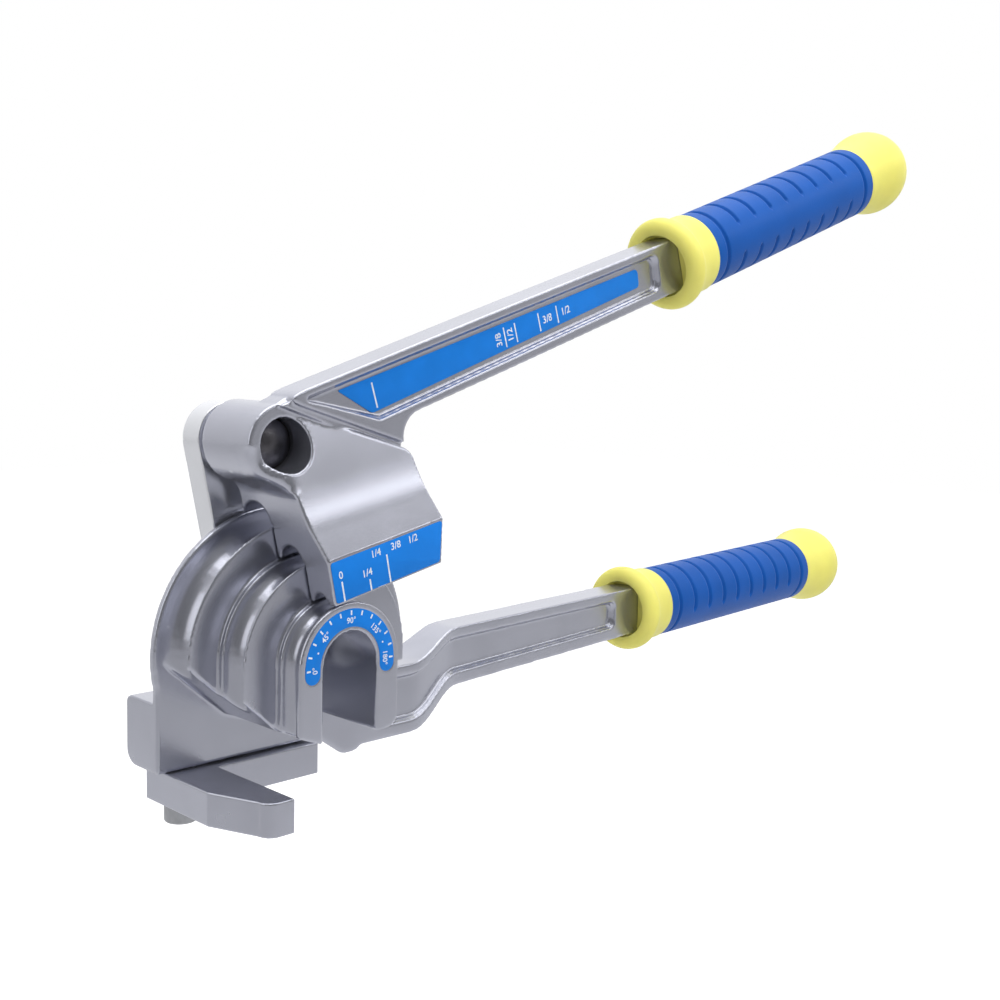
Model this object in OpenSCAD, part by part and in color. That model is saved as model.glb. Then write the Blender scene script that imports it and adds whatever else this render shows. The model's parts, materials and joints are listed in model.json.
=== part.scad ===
// Lever tube bender for three tube sizes, with a hinged shoe lever, a rear link and a swinging tube latch.
// Millimetres. Origin: bend centre on the front face of the grooved die. +Y runs back along the bend
// axis, +X towards the handles, +Z up. The rest pose is part way through a bend.

/* [Tube grooves] */
// Outside diameter of the smallest tube
tube_small = 6.35; // [5:0.05:7.5]
// Outside diameter of the middle tube
tube_mid = 9.525; // [8:0.05:10.5]
// Outside diameter of the largest tube
tube_large = 12.7; // [11:0.05:13.5]
// Bend radius of the smallest tube, at its centre line
bend_r_small = 17.4; // [16.6:0.1:18.2]
// Bend radius of the middle tube, at its centre line
bend_r_mid = 28.3; // [27:0.1:29.5]
// Bend radius of the largest tube, at its centre line
bend_r_large = 38.1; // [37:0.1:39.4]
// Radial room between a tube and its groove
groove_room = 0.1; // [0.05:0.05:0.3]
// Flat land in front of the first groove
front_land = 2; // [1.5:0.1:3]
// Flat land behind the first and second grooves
ridge_land = 1.8; // [1.2:0.1:2.6]
// Flat land between a step and the groove behind it
step_land = 0.6; // [0.4:0.1:1.2]

/* [Die casting] */
// Width of the arched pocket in the front of the die
pocket_w = 18.8; // [16:0.2:20]
// Depth of the arched pocket
pocket_depth = 28; // [24:0.5:30]
// Drop of the left leg's outer corner below the bend centre
left_leg_drop = 18.2; // [15:0.2:21]
// Drop of the left leg's inner corner below the bend centre
left_leg_inner_drop = 21.2; // [19:0.2:24]
// Drop of the right leg below the bend centre
right_leg_drop = 20.8; // [16:0.2:24]
// Corner radius of the right leg's foot
leg_corner_r = 4; // [2:0.5:6]
// Drop of the right ends of the two larger grooves
groove_end_drop = 5; // [2:0.5:9]
// Radius of the flange behind the largest groove
flange_r = 40.2; // [39.6:0.1:42]
// Thickness of the back plate
plate_t = 2.4; // [2:0.1:3.4]
// Left edge of the back plate, from the bend centre
plate_left = 39.2; // [38:0.1:41]
// Drop of the back plate's lower edge
plate_drop = 32.4; // [30:0.2:35]
// Depth of the rear beam, its latch lug and the handle's root
beam_depth = 16.5; // [14:0.5:17]
// Drop of the rear beam's top below the bend centre
beam_top_drop = 18; // [15:0.5:22]
// Width of the latch lug
lug_w = 17.2; // [15:0.2:20]
// Drop of the lug's top below the bend centre
lug_top_drop = 12.4; // [12:0.2:16]
// Corner radius of the beam's and the lug's lower rear edge
beam_low_r = 4.5; // [2:0.5:5]
// Corner radius of the beam's and the lug's upper rear edge
beam_top_r = 2.5; // [1:0.5:4]

/* [Lower handle] */
// Drop of the handle root's top edge
root_top_drop = 15; // [13:0.5:17]
// Drop of the handle root's lower edge
root_low_drop = 38; // [36:0.5:40]
// Distance from the bend centre to the start of the offset bend
jog_from = 55; // [52:0.5:58]
// Distance from the bend centre to the end of the offset bend
jog_to = 80; // [77:0.5:85]
// Distance from the bend centre to the straight bar's reference point
bar_ref_x = 90; // [88:0.5:96]
// Depth of the straight bar's axis behind the die's front face, at the reference point
bar_ref_y = 47.5; // [46:0.5:52]
// Drop of the straight bar's axis, at the reference point
bar_ref_drop = 17; // [15:0.5:19]
// Angle of the bar away from the bend plane, seen from above
bar_splay = 3; // [1:0.5:5]
// Upward tilt of the bar
bar_tilt = 1.2; // [0:0.2:3]
// Depth of the lower bar, front to back
bar_t = 11.8; // [10:0.2:12]
// Height of the lower bar behind the offset bend
bar_h = 20; // [18:0.5:22]
// Height of both bars inside their grips
tang_h = 18.2; // [15:0.2:18.4]
// Thickness of the flanges along both bars
flange_t = 3.6; // [3:0.2:4.6]
// Depth of the channels in the sides of both bars
channel_depth = 2.2; // [1.4:0.1:3]
// Width of the step half way down the channels' walls
channel_step = 0.7; // [0.3:0.1:1]
// Corner radius of the channels' outer ends
channel_corner_r = 3; // [1.5:0.5:4]

/* [Link and pivots] */
// Distance between the bend centre and the lever's pivot
link_len = 61.65; // [60:0.05:63]
// Width of the link
link_w = 21.2; // [20:0.2:21.4]
// Thickness of the link
link_t = 8.2; // [6:0.2:10]
// Diameter of the bolt through the bend centre
pivot_d = 10; // [8:0.5:11]
// Diameter of the bend bolt's head
pivot_head_d = 16; // [14:0.5:17.5]
// Height of the bend bolt's head
pivot_head_h = 5.5; // [4:0.5:7]
// Thickness of the washers on the bend bolt
washer_t = 1; // [0.8:0.1:1.6]
// Outside diameter of the washers on the bend bolt
washer_d = 18; // [17:0.5:20]
// Width across flats of the bend bolt's nut
nut_flats = 15; // [13:0.5:17]
// Height of the bend bolt's nut
nut_h = 6.5; // [5:0.5:8]
// Diameter of the lever's pivot pin
pin_d = 10; // [8:0.5:10]
// Diameter of the pivot pin's domed head
pin_head_d = 13.6; // [12.6:0.2:14]
// Height of the pivot pin's domed head
pin_head_h = 4.5; // [3:0.5:6]
// Wall of the bronze bushes
bush_wall = 1.5; // [1:0.1:1.8]
// Length of the bushes in the lever's barrel
barrel_bush_len = 7; // [5:0.5:8]

/* [Lever] */
// Angle that the bend has reached in the rest pose
rest_bend = 78; // [70:1:85]
// Outside diameter of the lever's barrel
barrel_d = 23; // [22:0.1:24]
// Diameter of the boss between the barrel and the link
barrel_boss_d = 17; // [16:0.5:20]
// Height of the boss between the barrel and the link
barrel_boss_h = 2.6; // [1:0.2:4]
// Diameter of the counterbore for the pin's head
counterbore_d = 15; // [14.6:0.1:16]
// Depth of the counterbore
counterbore_depth = 9.5; // [7:0.5:12]
// Depth of the barrel's front end behind the die's front face
barrel_front = 14; // [13:0.5:15]
// Depth of the lever bar's face behind the die's front face
lever_front = 11.2; // [10:0.2:12.4]
// Depth of the lever bar, front to back
lever_t = 11.8; // [10:0.2:12]
// Distance along the lever from the bend centre to the bar's reference point
lever_ref = 84; // [80:1:88]
// Height of the lever bar's axis above the bend centre, at the reference point
lever_ref_h = 73.6; // [72:0.1:76]
// Height of the grip's axis above the bend centre, at the front edge of its collar
lever_grip_h = 82.5; // [80:0.1:85]
// Angle between the lever's grip and the tube's straight end
lever_rise = 6.6; // [4:0.2:8]
// Height of the lever bar at the reference point
lever_h = 19; // [17:0.1:20]
// Thickness of the rims round the channel in the lever's face
lever_rim = 2.2; // [1.8:0.1:3]

/* [Shoe] */
// Overhang of the shoe in front of the die
shoe_front = 1.2; // [0.8:0.1:2.5]
// Room between the die's rims and the shoe
shoe_room = 0.6; // [0.4:0.1:1.2]
// Room between the die's step faces and the shoe's side walls
shoe_side_room = 0.35; // [0.3:0.05:0.6]
// Length of the shoe behind its zero mark
shoe_back = 2.8; // [2:0.2:4]
// Length of the shoe ahead of its zero mark
shoe_ahead = 40; // [36:0.5:43]
// Height of the shoe's label face
shoe_face_h = 12.8; // [11.5:0.1:14]
// Height of the shoe's bent slope above its label face
shoe_slope_h = 37; // [34:0.5:40]
// Height of the shoe's right shoulder above its label face
shoe_shoulder_h = 19.7; // [17:0.1:21]

/* [Latch] */
// Distance from the bend centre to the latch pin, to the left
latch_pin_x = 28.4; // [27.6:0.2:31]
// Depth of the latch pin behind the back plate's face
latch_pin_y = 5.2; // [4.8:0.1:6.5]
// Diameter of the latch pin
latch_pin_d = 6; // [5:0.2:7]
// Diameter of the latch pin's head
latch_head_d = 9.6; // [8.6:0.2:11]
// Height of the latch pin's head
latch_head_h = 5.4; // [4:0.2:7]
// Length of the latch pin that sits in the lug
latch_pin_hold = 14; // [8:0.5:17]
// Height of the latch
latch_h = 9.6; // [8:0.2:11]
// Left edge of the latch, from the bend centre
latch_left = 36.2; // [35.8:0.1:38]
// Right end of the latch bar, from the bend centre
latch_right = 14.5; // [11:0.5:15]
// Distance of the latch bar in front of the back plate's face
latch_bar_front = 3; // [2:0.2:4.5]
// Depth of the latch bar
latch_bar_t = 14; // [12.6:0.2:16]
// Distance from the bend centre to the finger's inner face
finger_inner = 21.4; // [21:0.1:24]
// Overhang of the finger in front of the die
finger_front = 3.5; // [2:0.5:6]
// Width of the finger at its tip
finger_tip_w = 9; // [7:0.2:11]

/* [Grips] */
// Distance from both bars' reference points to the collars' front edges
grip_from = 88; // [80:0.5:92]
// Bore of both grips
grip_bore = 22.2; // [21.9:0.1:22.6]
// Outside diameter of the sleeves
sleeve_d = 27.6; // [26.4:0.1:28.6]
// Length of the sleeves
sleeve_len = 107; // [90:1:115]
// Length of the collars
collar_len = 17; // [14:0.5:20]
// Outside diameter of the collars' rounded flange
collar_d = 33; // [31:0.5:35]
// Width of the collars' rounded flange
collar_flange_w = 7.4; // [6:0.2:9]
// Diameter of the domed end caps
cap_d = 33.4; // [31:0.2:35]
// Length of the end caps' flare
cap_flare = 17.5; // [14:0.5:20]
// Length of the end caps' neck inside the sleeves
cap_plug = 12; // [8:0.5:16]
// Number of short grip grooves along a sleeve
rib_count = 8; // [6:1:10]
// Distance from a sleeve's ends to its full grooves
rib_end = 6; // [4:0.5:8]
// Width of a grip groove
rib_w = 1.2; // [0.8:0.1:1.8]
// Depth of a grip groove
rib_depth = 0.6; // [0.3:0.1:0.9]
// Arc that a row of grip grooves covers
rib_arc = 140; // [120:2:160]
// Direction of the upper sleeve's smooth bands, round its axis from the rear
upper_band = 174; // [150:2:200]
// Direction of the lower sleeve's smooth bands, round its axis from the rear
lower_band = 218; // [200:2:240]

/* [Labels] */
// Thickness of the printed labels
label_t = 0.3; // [0.2:0.05:0.4]
// Inner radius of the degree label
scale_inner_r = 10.5; // [10.4:0.1:11]
// Outer radius of the degree label
scale_outer_r = 15.6; // [15:0.1:15.8]
// Drop of the degree label's straight ends
scale_drop = 1.4; // [0.5:0.1:3]
// Border left round the shoe's label
shoe_label_border = 0.6; // [0.4:0.1:1.5]

/* [Fits] */
// Radial play of a pin in its hole
pin_play = 0.05; // [0.02:0.01:0.1]
// Gap between faces that slide past each other
face_gap = 0.35; // [0.3:0.05:0.6]

/* [Hidden] */
$fn = 64;

// Colours
cast_silver = "#a4a7b0";
zinc_steel = "#b9bcc2";
dark_steel = "#5a5d63";
bronze = "#a9814a";
label_blue = "#1f7ae0";
rubber_blue = "#2467c9";
grip_yellow = "#f5ef5a";

// Overshoot of a cut past the faces that it opens
over = 1;

// Die profile, front to back
groove_small = tube_small / 2 + groove_room;
groove_mid = tube_mid / 2 + groove_room;
groove_large = tube_large / 2 + groove_room;
y_small = front_land + groove_small;
step_1 = y_small + groove_small + ridge_land;
y_mid = step_1 + step_land + groove_mid;
step_2 = y_mid + groove_mid + ridge_land;
y_large = step_2 + step_land + groove_large;
plate_y = y_large + groove_large;
plate_rear = plate_y + plate_t;
beam_rear = plate_y + beam_depth;
lobe_x = flange_r - 11;
lobe_r = 4;
lobe_flat = 2.8;
latch_end_room = 2;
lobe_low = -root_low_drop - 1.6;
groove_rows = [
  [bend_r_small, y_small, groove_small],
  [bend_r_mid, y_mid, groove_mid],
  [bend_r_large, y_large, groove_large]
];
pocket_r = pocket_w / 2;
leg_reach = max(left_leg_inner_drop, right_leg_drop) + over;

// Pivot stack behind the plate
link_front = plate_rear + washer_t + face_gap;
link_rear = link_front + link_t;
rear_washer_y = link_rear + face_gap;
nut_y = rear_washer_y + washer_t;
bolt_end = nut_y + nut_h + 1.5;
pin_washer_y = link_rear;
pin_ring_y = pin_washer_y + washer_t;
pin_ring_t = 1.6;
pin_ring_d = pin_d + 5;
pin_end = pin_ring_y + pin_ring_t + 1;
bush_d = pivot_d + 2 * bush_wall;
barrel_bush_d = pin_d + 2 * bush_wall;

// The rest pose tilts the tube's straight end by the angle that is left to a quarter turn
tilt = 90 - rest_bend;

// Lever and shoe, in the frame of the tube's straight end: x along the tube, z away from the bend centre
barrel_rear = link_front - face_gap;
lever_y = lever_front + lever_t / 2;
lever_rear = lever_front + lever_t;
counterbore_y = barrel_front + counterbore_depth;
pin_head_y = counterbore_y - face_gap;
shoe_low = [for (row = groove_rows) row[0] + shoe_room];
shoe_edge = [step_1 - shoe_side_room, step_2 - shoe_side_room, plate_y - shoe_side_room];
shoe_face_top = shoe_low[0] + shoe_face_h;
shoe_top = shoe_face_top + shoe_slope_h;
shoe_shoulder = shoe_face_top + shoe_shoulder_h;
barrel_top = link_len + barrel_d / 2;
shoe_taper = 3;
shoe_corner_r = 6;
slope_bend_depth = 0.487;
slope_bend_height = 0.3;
slope_bend_low = 0.4;
slope_bend_high = 0.35;
shoulder_r = 2.4;
shoe_corner_u = -shoe_back - shoe_corner_r;
shoe_corner_reach = shoe_corner_r + barrel_d / 2;
shoe_corner_z = link_len - sqrt(shoe_corner_reach * shoe_corner_reach - shoe_corner_u * shoe_corner_u);
shoe_corner_turn = atan2(link_len - shoe_corner_z, -shoe_corner_u);
slope_from = [-shoe_front, shoe_face_top];
slope_to = [barrel_front, shoe_top];
slope_bend = [
  mix(slope_from[0], slope_to[0], slope_bend_depth), mix(slope_from[1], slope_to[1], slope_bend_height)
];
slope_points = concat(
  [slope_from],
  curve_points(mix(slope_bend, slope_from, slope_bend_low), slope_bend,
    mix(slope_bend, slope_to, slope_bend_high), 16),
  [slope_to]
);
blend_turn = 10;
blend_step = 0.7;
blend_count = 6;
bar_corner_r = 8;
bar_tip = 9;
bar_tip_foot = 6;
crest_step = 1.6;
crest_back = 5;
crest_bend = 1;
crest_ahead = 10;
joint_sink = 0.4;
band_from = 5;
band_to = shoe_ahead - joint_sink;
grip_r = grip_bore / 2;

// Channels in the bars: distances of their outer ends from the collars, then each cut's share of the depth
// and its inset
lever_channel_end = 8;
bar_channel_end = 10;
channel_low_rim = 0.8;
channel_steps = [[0.5, 0], [1, channel_step]];

// Latch heights and the latch pin's place
latch_top = -plate_drop - face_gap;
latch_low = latch_top - latch_h;
latch_washer_low = latch_low - face_gap - washer_t;
latch_axis = [-latch_pin_x, plate_y + latch_pin_y];
latch_bore_top = -plate_drop + latch_pin_hold;

// Grip stations along a grip's own axis
sleeve_from = collar_len;
sleeve_to = sleeve_from + sleeve_len;
cap_centre = sleeve_to + cap_flare;

function mix(a, b, t) = a + (b - a) * t;
function curve_point(a, bend, b, t) = mix(mix(a, bend, t), mix(bend, b, t), t);
function curve_points(a, bend, b, steps) = [for (i = [0:steps]) curve_point(a, bend, b, i / steps)];
function clamp01(t) = min(1, max(0, t));
function ease(t) = let (c = clamp01(t)) c * c * (3 - 2 * c);
function arc_points(cx, cy, r, from, to, steps) =
  [for (i = [0:steps]) let (a = mix(from, to, i / steps)) [cx + r * cos(a), cy + r * sin(a)]];

// Lower bar: place of its axis, and its front, rear, top and lower edges, at a distance x
bar_end_x = bar_ref_x + (grip_from + sleeve_to - cap_plug - over) * cos(bar_splay);
grip_x = bar_ref_x + grip_from * cos(bar_splay);
function bar_y(x) = bar_ref_y + (x - bar_ref_x) * tan(bar_splay);
function bar_z(x) = -bar_ref_drop + (x - bar_ref_x) * tan(bar_tilt);
function bar_height(x) = mix(bar_h, tang_h, clamp01((x - jog_to) / (grip_x - jog_to)));
function jog(x) = ease((x - jog_from) / (jog_to - jog_from));
function bar_front(x) = mix(plate_y, bar_y(x) - bar_t / 2, jog(x));
function bar_rear(x) = mix(beam_rear, bar_y(x) + bar_t / 2, jog(x));
function bar_top(x) = mix(-root_top_drop, bar_z(x) + bar_height(x) / 2, jog(x));
function bar_low(x) = mix(-root_low_drop, bar_z(x) - bar_height(x) / 2, jog(x));
jog_steps = 12;
function jog_stations(from, to) = concat(
  [from], [for (i = [0:jog_steps]) mix(jog_from, jog_to, i / jog_steps)],
  [grip_x], to > grip_x ? [to] : []);
function reversed(list) = [for (i = [len(list) - 1:-1:0]) list[i]];

// Lever bar: place of its axis and its edges at a distance u along the tube's straight end
lever_grip_u = lever_ref + grip_from;
lever_end_u = lever_grip_u + (sleeve_to - cap_plug - over) * cos(lever_rise);
function lever_z(u) = u > lever_grip_u
  ? lever_grip_h + (u - lever_grip_u) * tan(lever_rise)
  : mix(lever_ref_h, lever_grip_h, (u - lever_ref) / grip_from);
function lever_height(u) = mix(lever_h, tang_h, clamp01((u - lever_ref) / (lever_grip_u - lever_ref)));
function lever_top(u) = lever_z(u) + lever_height(u) / 2;
function lever_low(u) = lever_z(u) - lever_height(u) / 2;

// A prism along Y from an outline in X and Z
module side_prism(outline, y_from, y_to) {
  translate([0, y_to, 0]) rotate([90, 0, 0]) linear_extrude(y_to - y_from) polygon(outline);
}

// A prism along Z from an outline in X and Y
module plan_prism(outline, z_from, z_to) {
  translate([0, 0, z_from]) linear_extrude(z_to - z_from) polygon(outline);
}

// A prism along X from an outline in Y and Z
module end_prism(outline, x_from, x_to) {
  translate([x_from, 0, 0]) rotate([90, 0, 90]) linear_extrude(x_to - x_from) polygon(outline);
}

// A round bar along Y
module y_rod(d, y_from, y_to) {
  translate([0, y_from, 0]) rotate([-90, 0, 0]) cylinder(d = d, h = y_to - y_from);
}

// A ring along Y
module y_ring(outer, inner, y_from, y_to) {
  difference() {
    y_rod(outer, y_from, y_to);
    y_rod(inner, y_from - over, y_to + over);
  }
}

// Turns a shape into the frame of the tube's straight end
module along_tube() {
  rotate([0, -tilt, 0]) children();
}

// Places a shape on the lever's pivot
module at_barrel() {
  along_tube() translate([0, 0, link_len]) children();
}

// Lays a grip shape, drawn along X, on the lower bar or the lever bar
module on_lower_bar() {
  translate([bar_ref_x, bar_ref_y, -bar_ref_drop]) rotate([0, -bar_tilt, bar_splay])
    translate([grip_from, 0, 0]) children();
}

module on_lever_bar() {
  along_tube() translate([lever_grip_u, lever_y, lever_grip_h]) rotate([0, -lever_rise, 0]) children();
}

// Half section of the stepped die: distance from the bend axis across, depth up
module die_profile() {
  difference() {
    polygon([
      [0, 0], [bend_r_small, 0], [bend_r_small, step_1], [bend_r_mid, step_1],
      [bend_r_mid, step_2], [bend_r_large, step_2], [bend_r_large, plate_y], [0, plate_y]
    ]);
    for (row = groove_rows) translate([row[0], row[1]]) circle(r = row[2]);
  }
}

// Front view of the die: round on top, slanted under the left grooves, two legs below
module die_limits() {
  reach = flange_r + over;
  side_prism(concat(
    [[-reach, over], [-bend_r_large, 0], [-bend_r_small, -left_leg_drop]],
    [[-pocket_r, -left_leg_inner_drop], [pocket_r, -right_leg_drop]],
    arc_points(bend_r_small - leg_corner_r, leg_corner_r - right_leg_drop, leg_corner_r, 270, 360, 4),
    [[bend_r_small, -groove_end_drop], [reach, -groove_end_drop], [reach, reach], [-reach, reach]]
  ), -over, plate_y + over);
}

module die() {
  intersection() {
    union() {
      rotate([-90, 0, 0]) rotate_extrude() die_profile();
      for (side = [0, 1]) mirror([side, 0, 0])
        translate([0, 0, -leg_reach]) linear_extrude(leg_reach) die_profile();
    }
    die_limits();
  }
}

// Back plate: flange behind the largest groove, flat lower part and the lobe where the handle starts
module back_plate() {
  intersection() {
    y_rod(2 * flange_r, plate_y, plate_rear);
    translate([-2 * flange_r, 0, -root_top_drop])
      cube([4 * flange_r, plate_rear + over, flange_r + root_top_drop + over]);
  }
  side_prism(concat(
    [[-plate_left, 0], [-plate_left, -plate_drop], [latch_right + latch_end_room, -plate_drop]],
    arc_points(lobe_x - lobe_flat / 2, lobe_low + lobe_r, lobe_r, 245, 270, 2),
    arc_points(lobe_x + lobe_flat / 2, lobe_low + lobe_r, lobe_r, 270, 335, 4),
    [[flange_r, -root_low_drop], [flange_r, -root_top_drop], [0, 0]]
  ), plate_y, plate_rear);
}

// Beam behind the plate, from the latch lug to the handle's root, with round rear edges
module rear_beam() {
  end_prism(beam_outline(-beam_top_drop), -plate_left, flange_r);
  end_prism(beam_outline(-lug_top_drop), -plate_left, lug_w - plate_left);
}

// End view of the beam or the lug, up to its top
function beam_outline(top) = concat(
  [[plate_y, -plate_drop]],
  arc_points(beam_rear - beam_low_r, beam_low_r - plate_drop, beam_low_r, 270, 360, 6),
  arc_points(beam_rear - beam_top_r, top - beam_top_r, beam_top_r, 0, 90, 6),
  [[plate_y, top]]
);

// Lower bar with its offset bend, from the outlines seen from above and from the front
module lower_bar() {
  root_x = lobe_x;
  xs = jog_stations(root_x, bar_end_x);
  difference() {
    intersection() {
      plan_prism(concat([for (x = xs) [x, bar_front(x)]], [for (x = reversed(xs)) [x, bar_rear(x)]]),
        -2 * root_low_drop, root_low_drop);
      side_prism(concat([for (x = xs) [x, bar_top(x)]], [for (x = reversed(xs)) [x, bar_low(x)]]),
        0, bar_rear(bar_end_x) + bar_t);
    }
    for (step = channel_steps) {
      bar_channel(flange_r, -over, step[0] * channel_depth, 0, step[1]);
      bar_channel(jog_to, -step[0] * channel_depth, over, 1, step[1]);
    }
  }
}

// Channel in the front (side 0) or rear (side 1) of the lower bar, between its two flanges and drawn in
// by an inset
module bar_channel(from, near, far, side, inset) {
  to = grip_x - bar_channel_end - inset;
  round_from = to - channel_corner_r;
  rim = flange_t + inset;
  low_rim = rim + channel_low_rim;
  cut = [for (x = jog_stations(from, grip_x)) if (x >= from && x < round_from) x];
  stations = concat(cut, [to]);
  intersection() {
    plan_prism(concat(
      [for (x = stations) [x, (side == 0 ? bar_front(x) : bar_rear(x)) + near]],
      [for (x = reversed(stations)) [x, (side == 0 ? bar_front(x) : bar_rear(x)) + far]]
    ), -2 * root_low_drop, root_low_drop);
    side_prism(concat(
      [for (x = cut) [x, bar_top(x) - rim]],
      arc_points(round_from, bar_top(to) - rim - channel_corner_r, channel_corner_r, 90, 0, 5),
      arc_points(round_from, bar_low(to) + low_rim + channel_corner_r, channel_corner_r, 360, 270, 5),
      [for (x = reversed(cut)) [x, bar_low(x) + low_rim]]
    ), 0, bar_rear(bar_end_x) + bar_t);
  }
}

// Arched band of the degree label, outline in X and Z
function scale_outline(inner, outer, drop) =
  let (mid = (inner + outer) / 2, end_r = (outer - inner) / 2)
  concat(
    arc_points(0, 0, outer, 0, 180, 36),
    arc_points(-mid, -drop, end_r, 180, 360, 12),
    arc_points(0, 0, inner, 180, 0, 36),
    arc_points(mid, -drop, end_r, 180, 360, 12)
  );

module form_casting() {
  color(cast_silver) difference() {
    union() {
      die();
      back_plate();
      rear_beam();
      lower_bar();
    }
    // Arched pocket, open at the front and below
    y_rod(pocket_w, -over, pocket_depth);
    translate([-pocket_r, -over, -2 * root_low_drop])
      cube([pocket_w, pocket_depth + over, 2 * root_low_drop]);
    // Holes for the bend bolt and the latch pin
    y_rod(pivot_d + 2 * pin_play, 0, plate_rear + over);
    translate([latch_axis[0], latch_axis[1], -plate_drop - over])
      cylinder(d = latch_pin_d + 2 * pin_play, h = latch_pin_hold + over);
    // Seat of the degree label
    side_prism(scale_outline(scale_inner_r - pin_play, scale_outer_r + pin_play, scale_drop),
      -over, label_t);
  }
}

module degree_label() {
  color(label_blue) side_prism(scale_outline(scale_inner_r, scale_outer_r, scale_drop), 0, label_t);
}

module pivot_bolt() {
  color(zinc_steel) {
    y_rod(pivot_d, pocket_depth, bolt_end);
    y_rod(pivot_head_d, pocket_depth - pivot_head_h, pocket_depth);
  }
}

module pivot_washer() {
  color(zinc_steel) y_ring(washer_d, pivot_d + 2 * pin_play, plate_rear, plate_rear + washer_t);
}

module pivot_rear_washer() {
  color(zinc_steel) y_ring(washer_d, pivot_d + 2 * pin_play, rear_washer_y, rear_washer_y + washer_t);
}

module pivot_nut() {
  color(zinc_steel) difference() {
    translate([0, nut_y, 0]) rotate([-90, 0, 0]) cylinder(d = nut_flats / cos(30), h = nut_h, $fn = 6);
    y_rod(pivot_d + 2 * pin_play, nut_y - over, nut_y + nut_h + over);
  }
}

// Flat bar with round ends, from the bend bolt to the lever's pivot pin
module link_plate() {
  color(cast_silver) along_tube() difference() {
    union() {
      y_rod(link_w, link_front, link_rear);
      translate([0, 0, link_len]) y_rod(link_w, link_front, link_rear);
      translate([-link_w / 2, link_front, 0]) cube([link_w, link_t, link_len]);
    }
    y_rod(bush_d + 2 * pin_play, link_front - over, link_rear + over);
    translate([0, 0, link_len]) y_rod(pin_d + 2 * pin_play, link_front - over, link_rear + over);
  }
}

module link_bush() {
  color(bronze) y_ring(bush_d, pivot_d + 2 * pin_play, link_front, link_rear);
}

// Pin with a low domed head in the barrel's counterbore
module barrel_pin() {
  dome_h = pin_head_h / 2;
  dome_r = (pow(pin_head_d / 2, 2) + pow(dome_h, 2)) / (2 * dome_h);
  color(dark_steel) at_barrel() {
    y_rod(pin_d, pin_head_y, pin_end);
    y_rod(pin_head_d, pin_head_y - pin_head_h + dome_h, pin_head_y);
    intersection() {
      translate([0, pin_head_y - pin_head_h + dome_r, 0]) sphere(r = dome_r);
      y_rod(pin_head_d, pin_head_y - pin_head_h - over, pin_head_y);
    }
  }
}

module barrel_pin_washer() {
  color(zinc_steel) at_barrel()
    y_ring(washer_d, pin_d + 2 * pin_play, pin_washer_y, pin_washer_y + washer_t);
}

module barrel_pin_ring() {
  color(dark_steel) at_barrel()
    y_ring(pin_ring_d, pin_d + 2 * pin_play, pin_ring_y, pin_ring_y + pin_ring_t);
}

// Front view of the shoe, with a round corner under the barrel and the crest that joins it to the bar
module shoe_limits() {
  crest_fall = (barrel_top - shoe_shoulder) / shoe_ahead;
  side_prism(concat(
    [[-shoe_back, 0], [shoe_ahead - shoe_taper, 0], [shoe_ahead - shoe_taper, shoe_low[0]]],
    [[shoe_ahead, shoe_face_top]],
    curve_points(
      [shoe_ahead, shoe_shoulder - shoulder_r], [shoe_ahead, shoe_shoulder],
      [shoe_ahead - shoulder_r, shoe_shoulder + crest_fall * shoulder_r], 4),
    [[0, barrel_top - joint_sink], [0, link_len]],
    arc_points(shoe_corner_u, shoe_corner_z, shoe_corner_r, shoe_corner_turn, 0, 6)
  ), -shoe_front - over, plate_y);
}

// End view of the shoe: label face, bent slope up to the barrel's front end, stepped underside
module shoe_section() {
  end_prism(concat(
    [[-shoe_front, shoe_low[0]]],
    slope_points,
    [[barrel_front, barrel_top + over], [shoe_edge[2], barrel_top + over], [shoe_edge[2], shoe_low[2]]],
    [[shoe_edge[1], shoe_low[2]]],
    [[shoe_edge[1], shoe_low[1]], [shoe_edge[0], shoe_low[1]], [shoe_edge[0], shoe_low[0]]]
  ), -2 * shoe_back - barrel_d / 2, shoe_ahead);
}

// Steps that let the shoe's slope fade into the ring round the counterbore
module ring_blend() {
  blend_from = 180 + shoe_corner_turn;
  for (i = [1:blend_count]) intersection() {
    side_prism(concat(
      [[0, link_len]],
      arc_points(0, link_len, barrel_d / 2 - joint_sink, blend_from - i * blend_turn, blend_from + over, 4)
    ), -shoe_front, barrel_front + over);
    translate([0, i * blend_step, 0]) end_prism(concat(
      slope_points,
      [[barrel_front + over, shoe_top], [barrel_front + over, shoe_face_top]]
    ), -barrel_d, barrel_d);
  }
}

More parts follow.
